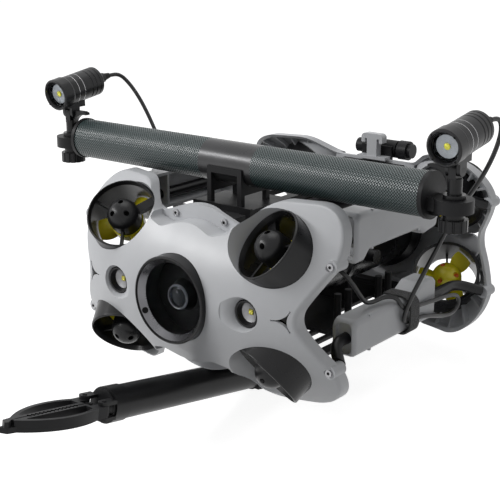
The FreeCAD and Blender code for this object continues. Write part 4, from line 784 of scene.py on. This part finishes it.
class VEHICLE_OT_headlamps(bpy.types.Operator):
    """Two headlamps in the bow"""
    bl_idname = "vehicle.headlamps"
    bl_label = "Headlamps"

    def execute(self, context):
        looks = context.scene.vehicle_looks
        dress(anodised(looks, "headlamp_barrel", 1.6, 0.34), "headlamps")
        low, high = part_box("headlamp_lenses")
        radius = (high.z - low.z) / 2
        out = high.x - radius
        shine, chip, glow = reflector(looks), phosphor(looks), clear_window(looks, "lamp_window")
        holder = None
        for sign, side in SIDES:
            front = Vector((sign * out, low.y, (low.z + high.z) / 2))
            disc = turned("headlamp_reflector_" + side,
                          [(0, -0.0020), (radius, -0.0020), (radius, 0.0),
                           (radius - 0.0006, 0.0002), (radius - 0.0011, -0.0001),
                           (0.0028, -0.0014), (0.0028, -0.0017), (0, -0.0017)],
                          front, (0, -1, 0), shine)
            mesh = mesh_from(lambda form: rounded_box(form, (0.0042, 0.0042, 0.0011), 0.0003),
                             facing(front + Vector((0, 0.0010, 0)), (0, -1, 0)))
            add_piece("headlamp_chip_" + side, mesh, chip)
            turned("headlamp_dome_" + side, dome(0.0013, 0.0006, 5), front + Vector((0, 0.0004, 0)),
                   (0, -1, 0), glow, steps=24)
            holder = holder or disc
        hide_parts("headlamp_lenses")
        return {"FINISHED"}


class VEHICLE_OT_light_bar(bpy.types.Operator):
    """Carbon tubes, their sleeve and the cradle"""
    bl_idname = "vehicle.light_bar"
    bl_label = "Light bar"

    def execute(self, context):
        looks = context.scene.vehicle_looks
        dress(woven_carbon(looks), "bar_tube_left", "bar_tube_right")
        dress(satin_sleeve(looks), "bar_sleeve")
        dress(black_moulding(looks), "bar_cradle", "light_bracket_left", "light_bracket_right")
        return {"FINISHED"}


class VEHICLE_OT_floodlights(bpy.types.Operator):
    """Floodlights on their posts"""
    bl_idname = "vehicle.floodlights"
    bl_label = "Floodlights"

    def execute(self, context):
        looks = context.scene.vehicle_looks
        black = anodised(looks)
        dress(machined_grooves(looks), "floodlight_left", "floodlight_right")
        dress(black, "light_post_left", "light_post_right", "thumb_screw_left", "thumb_screw_right")
        shine, chip, bright = reflector(looks), phosphor(looks), bright_ring(looks)
        dark, glass = black_and_hollow_shade(looks), clear_window(looks, "flood_window")
        for sign, side in SIDES:
            body = "floodlight_" + side
            frame_at = lamp_frame(sign)
            forward = frame_at.to_3x3() @ Vector((0, 0, 1))

            def along(distance):
                return frame_at @ Vector((0, 0, distance * MM))

            cup = turned("flood_reflector_" + side,
                         [(0, 0), (0.01135, 0), (0.01135, 0.0012), (0.0108, 0.0014),
                          (0.0092, 0.0011), (0.0090, 0.0006), (0.0026, 0.0002),
                          (0.0026, 0.0004), (0, 0.0004)],
                         along(13.5), forward, shine, body)
            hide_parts("floodlight_lens_" + side)
            turned("flood_shade_" + side,
                   [(0.01145, 0), (0.01145, 0.0030), (0.0105, 0.0030), (0.0090, 0.0009),
                    (0.0092, 0.0004)], along(13.5), forward, dark, body)
            turned("flood_chip_" + side,
                   [(0, 0), (0.0026, 0), (0.0026, 0.0006), (0.0021, 0.0009), (0, 0.0010)],
                   along(13.8), forward, chip, body)
            turned("flood_window_" + side, [(0, 0), (0.01085, 0), (0.01085, 0.0008), (0, 0.0008)],
                   along(16.2), forward, glass, body)
            for index, distance in enumerate(FLOOD_BANDS):
                turned("flood_band_%s_%d" % (side, index),
                       [(0.0132, -0.0002), (0.01362, -0.00018), (0.01362, 0.00018),
                        (0.0132, 0.0002)],
                       along(distance), forward, bright, body, steps=72)
            for index in range(4):
                spin = math.radians(45 + 90 * index)
                spot = frame_at @ Vector((0.0130 * math.cos(spin), 0.0130 * math.sin(spin),
                                          0.01945))
                turned("flood_pin_%s_%d" % (side, index),
                       [(0, 0), (0.0009, 0), (0.0009, 0.0002), (0, 0.0002)],
                       spot, forward, dark, body, steps=16)
            self.boot(side, body, along(LAMP_CABLE_EXIT), -forward, black)
        self.cables(looks)
        return {"FINISHED"}

    def boot(self, side, body, spot, out, finish):
        """Ribbed strain relief where a cable leaves its lamp."""
        profile = [(0.0043, -0.0005)]
        for rib in range(4):
            radius = 0.0036 - 0.0003 * rib
            start = 0.0006 + 0.0019 * rib
            profile += [(radius, start), (radius, start + 0.0012),
                        (radius - 0.0006, start + 0.0013), (radius - 0.0006, start + 0.0019)]
        profile += [(0.0021, 0.0084), (0.0019, 0.0084)]
        turned("cable_boot_" + side, profile, spot, out, finish, body, steps=28)

    def cables(self, looks):
        """Each lamp cable is two lengths that meet beside the post."""
        jacket = cable_jacket(looks)
        for side, points, joins in (("left", LEFT_CABLE, LEFT_CABLE_JOINS),
                                    ("right", RIGHT_CABLE, RIGHT_CABLE_JOINS)):
            sign = 1 if side == "left" else -1
            frame_at = lamp_frame(sign)
            start = frame_at @ Vector((0, 0, LAMP_CABLE_EXIT * MM))
            second = frame_at @ Vector((0, 0, (LAMP_CABLE_EXIT - LAMP_CABLE_STRAIGHT) * MM))
            route = [start, second] + [at(*point) for point in points]
            spots = route_line("cable_route_" + side, route)
            rings = tube_rings(spots, CABLE_RADIUS * MM)
            top, bottom = at(*joins[0]), at(*joins[1])
            cut = min(range(len(spots)), key=lambda i: (spots[i] - top).length)
            upper = tube_piece("lamp_cable_upper_" + side, rings[:cut + 1], jacket)
            lower = tube_piece("lamp_cable_lower_" + side, rings[cut:], jacket)
            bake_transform(upper)
            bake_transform(lower)
            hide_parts("light_cable_" + side)


class VEHICLE_OT_hull(bpy.types.Operator):
    """Pressure hull, rails, tray and frame tubes"""
    bl_idname = "vehicle.hull"
    bl_label = "Hull and tray"

    def execute(self, context):
        looks = context.scene.vehicle_looks
        dress(anodised(looks, "hull_anodised", 1.0, 0.3), "pressure_hull", "hull_end_cap")
        dress(black_moulding(looks), "top_rail", "bottom_tray", "tether_socket")
        dress(anodised(looks, "tube_anodised", 1.2, 0.3), "frame_tubes")
        dress(strap_webbing(looks), "beam_strap")
        dress(steel(looks), "screws")
        self.drive_shades(looks)
        return {"FINISHED"}

    def drive_shades(self, looks):
        """Dark six-sided disc on each shell screw: painted shade of the drive's hollow."""
        dark = black_and_hollow_shade(looks)
        places = []
        for flip in (1, -1):
            for sign, _ in SIDES:
                for height in (1, -1):
                    for x, z, face in SHELL_SCREWS:
                        spot = at(sign * x, -flip * face, height * z)
                        places.append(facing(spot, (0, -flip, 0)))

        def hexagon(form):
            lathe(form, [(0, 0), (0.0013, 0), (0.0013, 0.00025), (0, 0.00025)], 6)

        # Painted shade: one dark hexagon per screw, where the hollow of its drive is.
        add_piece("shell_screw_drive_shades", mesh_from(hexagon, *places), dark)


class VEHICLE_OT_grabber(bpy.types.Operator):
    """Grabber arm and its jaws"""
    bl_idname = "vehicle.grabber"
    bl_label = "Grabber arm"

    def execute(self, context):
        looks = context.scene.vehicle_looks
        dress(anodised(looks, "arm_anodised", 0.8, 0.36), "arm_housing", "push_rod")
        dress(black_moulding(looks), "arm_mount", "jaw_left", "jaw_right")
        return {"FINISHED"}


class VEHICLE_PT_panel(bpy.types.Panel):
    """Lists the vehicle's sizes, colours and pieces"""
    bl_label = "Inspection vehicle"
    bl_space_type = "VIEW_3D"
    bl_region_type = "UI"
    bl_category = "Vehicle"

    def draw(self, context):
        for group in (context.scene.vehicle_looks, context.scene.vehicle_stage):
            for name in group.__annotations__:
                self.layout.prop(group, name)
        for operator in OPERATORS:
            self.layout.operator(operator.bl_idname)


OPERATORS = (VEHICLE_OT_stage, VEHICLE_OT_shells, VEHICLE_OT_thrusters, VEHICLE_OT_camera_port,
             VEHICLE_OT_headlamps, VEHICLE_OT_light_bar, VEHICLE_OT_floodlights, VEHICLE_OT_hull,
             VEHICLE_OT_grabber)
CLASSES = (VehicleLooks, StageLooks, *OPERATORS, VEHICLE_PT_panel)


def register():
    for each in CLASSES:
        bpy.utils.register_class(each)
    bpy.types.Scene.vehicle_looks = PointerProperty(type=VehicleLooks)
    bpy.types.Scene.vehicle_stage = PointerProperty(type=StageLooks)


def unregister():
    del bpy.types.Scene.vehicle_looks
    del bpy.types.Scene.vehicle_stage
    for each in reversed(CLASSES):
        bpy.utils.unregister_class(each)


def main():
    register()
    for operator in OPERATORS:
        getattr(bpy.ops.vehicle, operator.bl_idname.split(".")[1])()


if __name__ == "__main__":
    main()
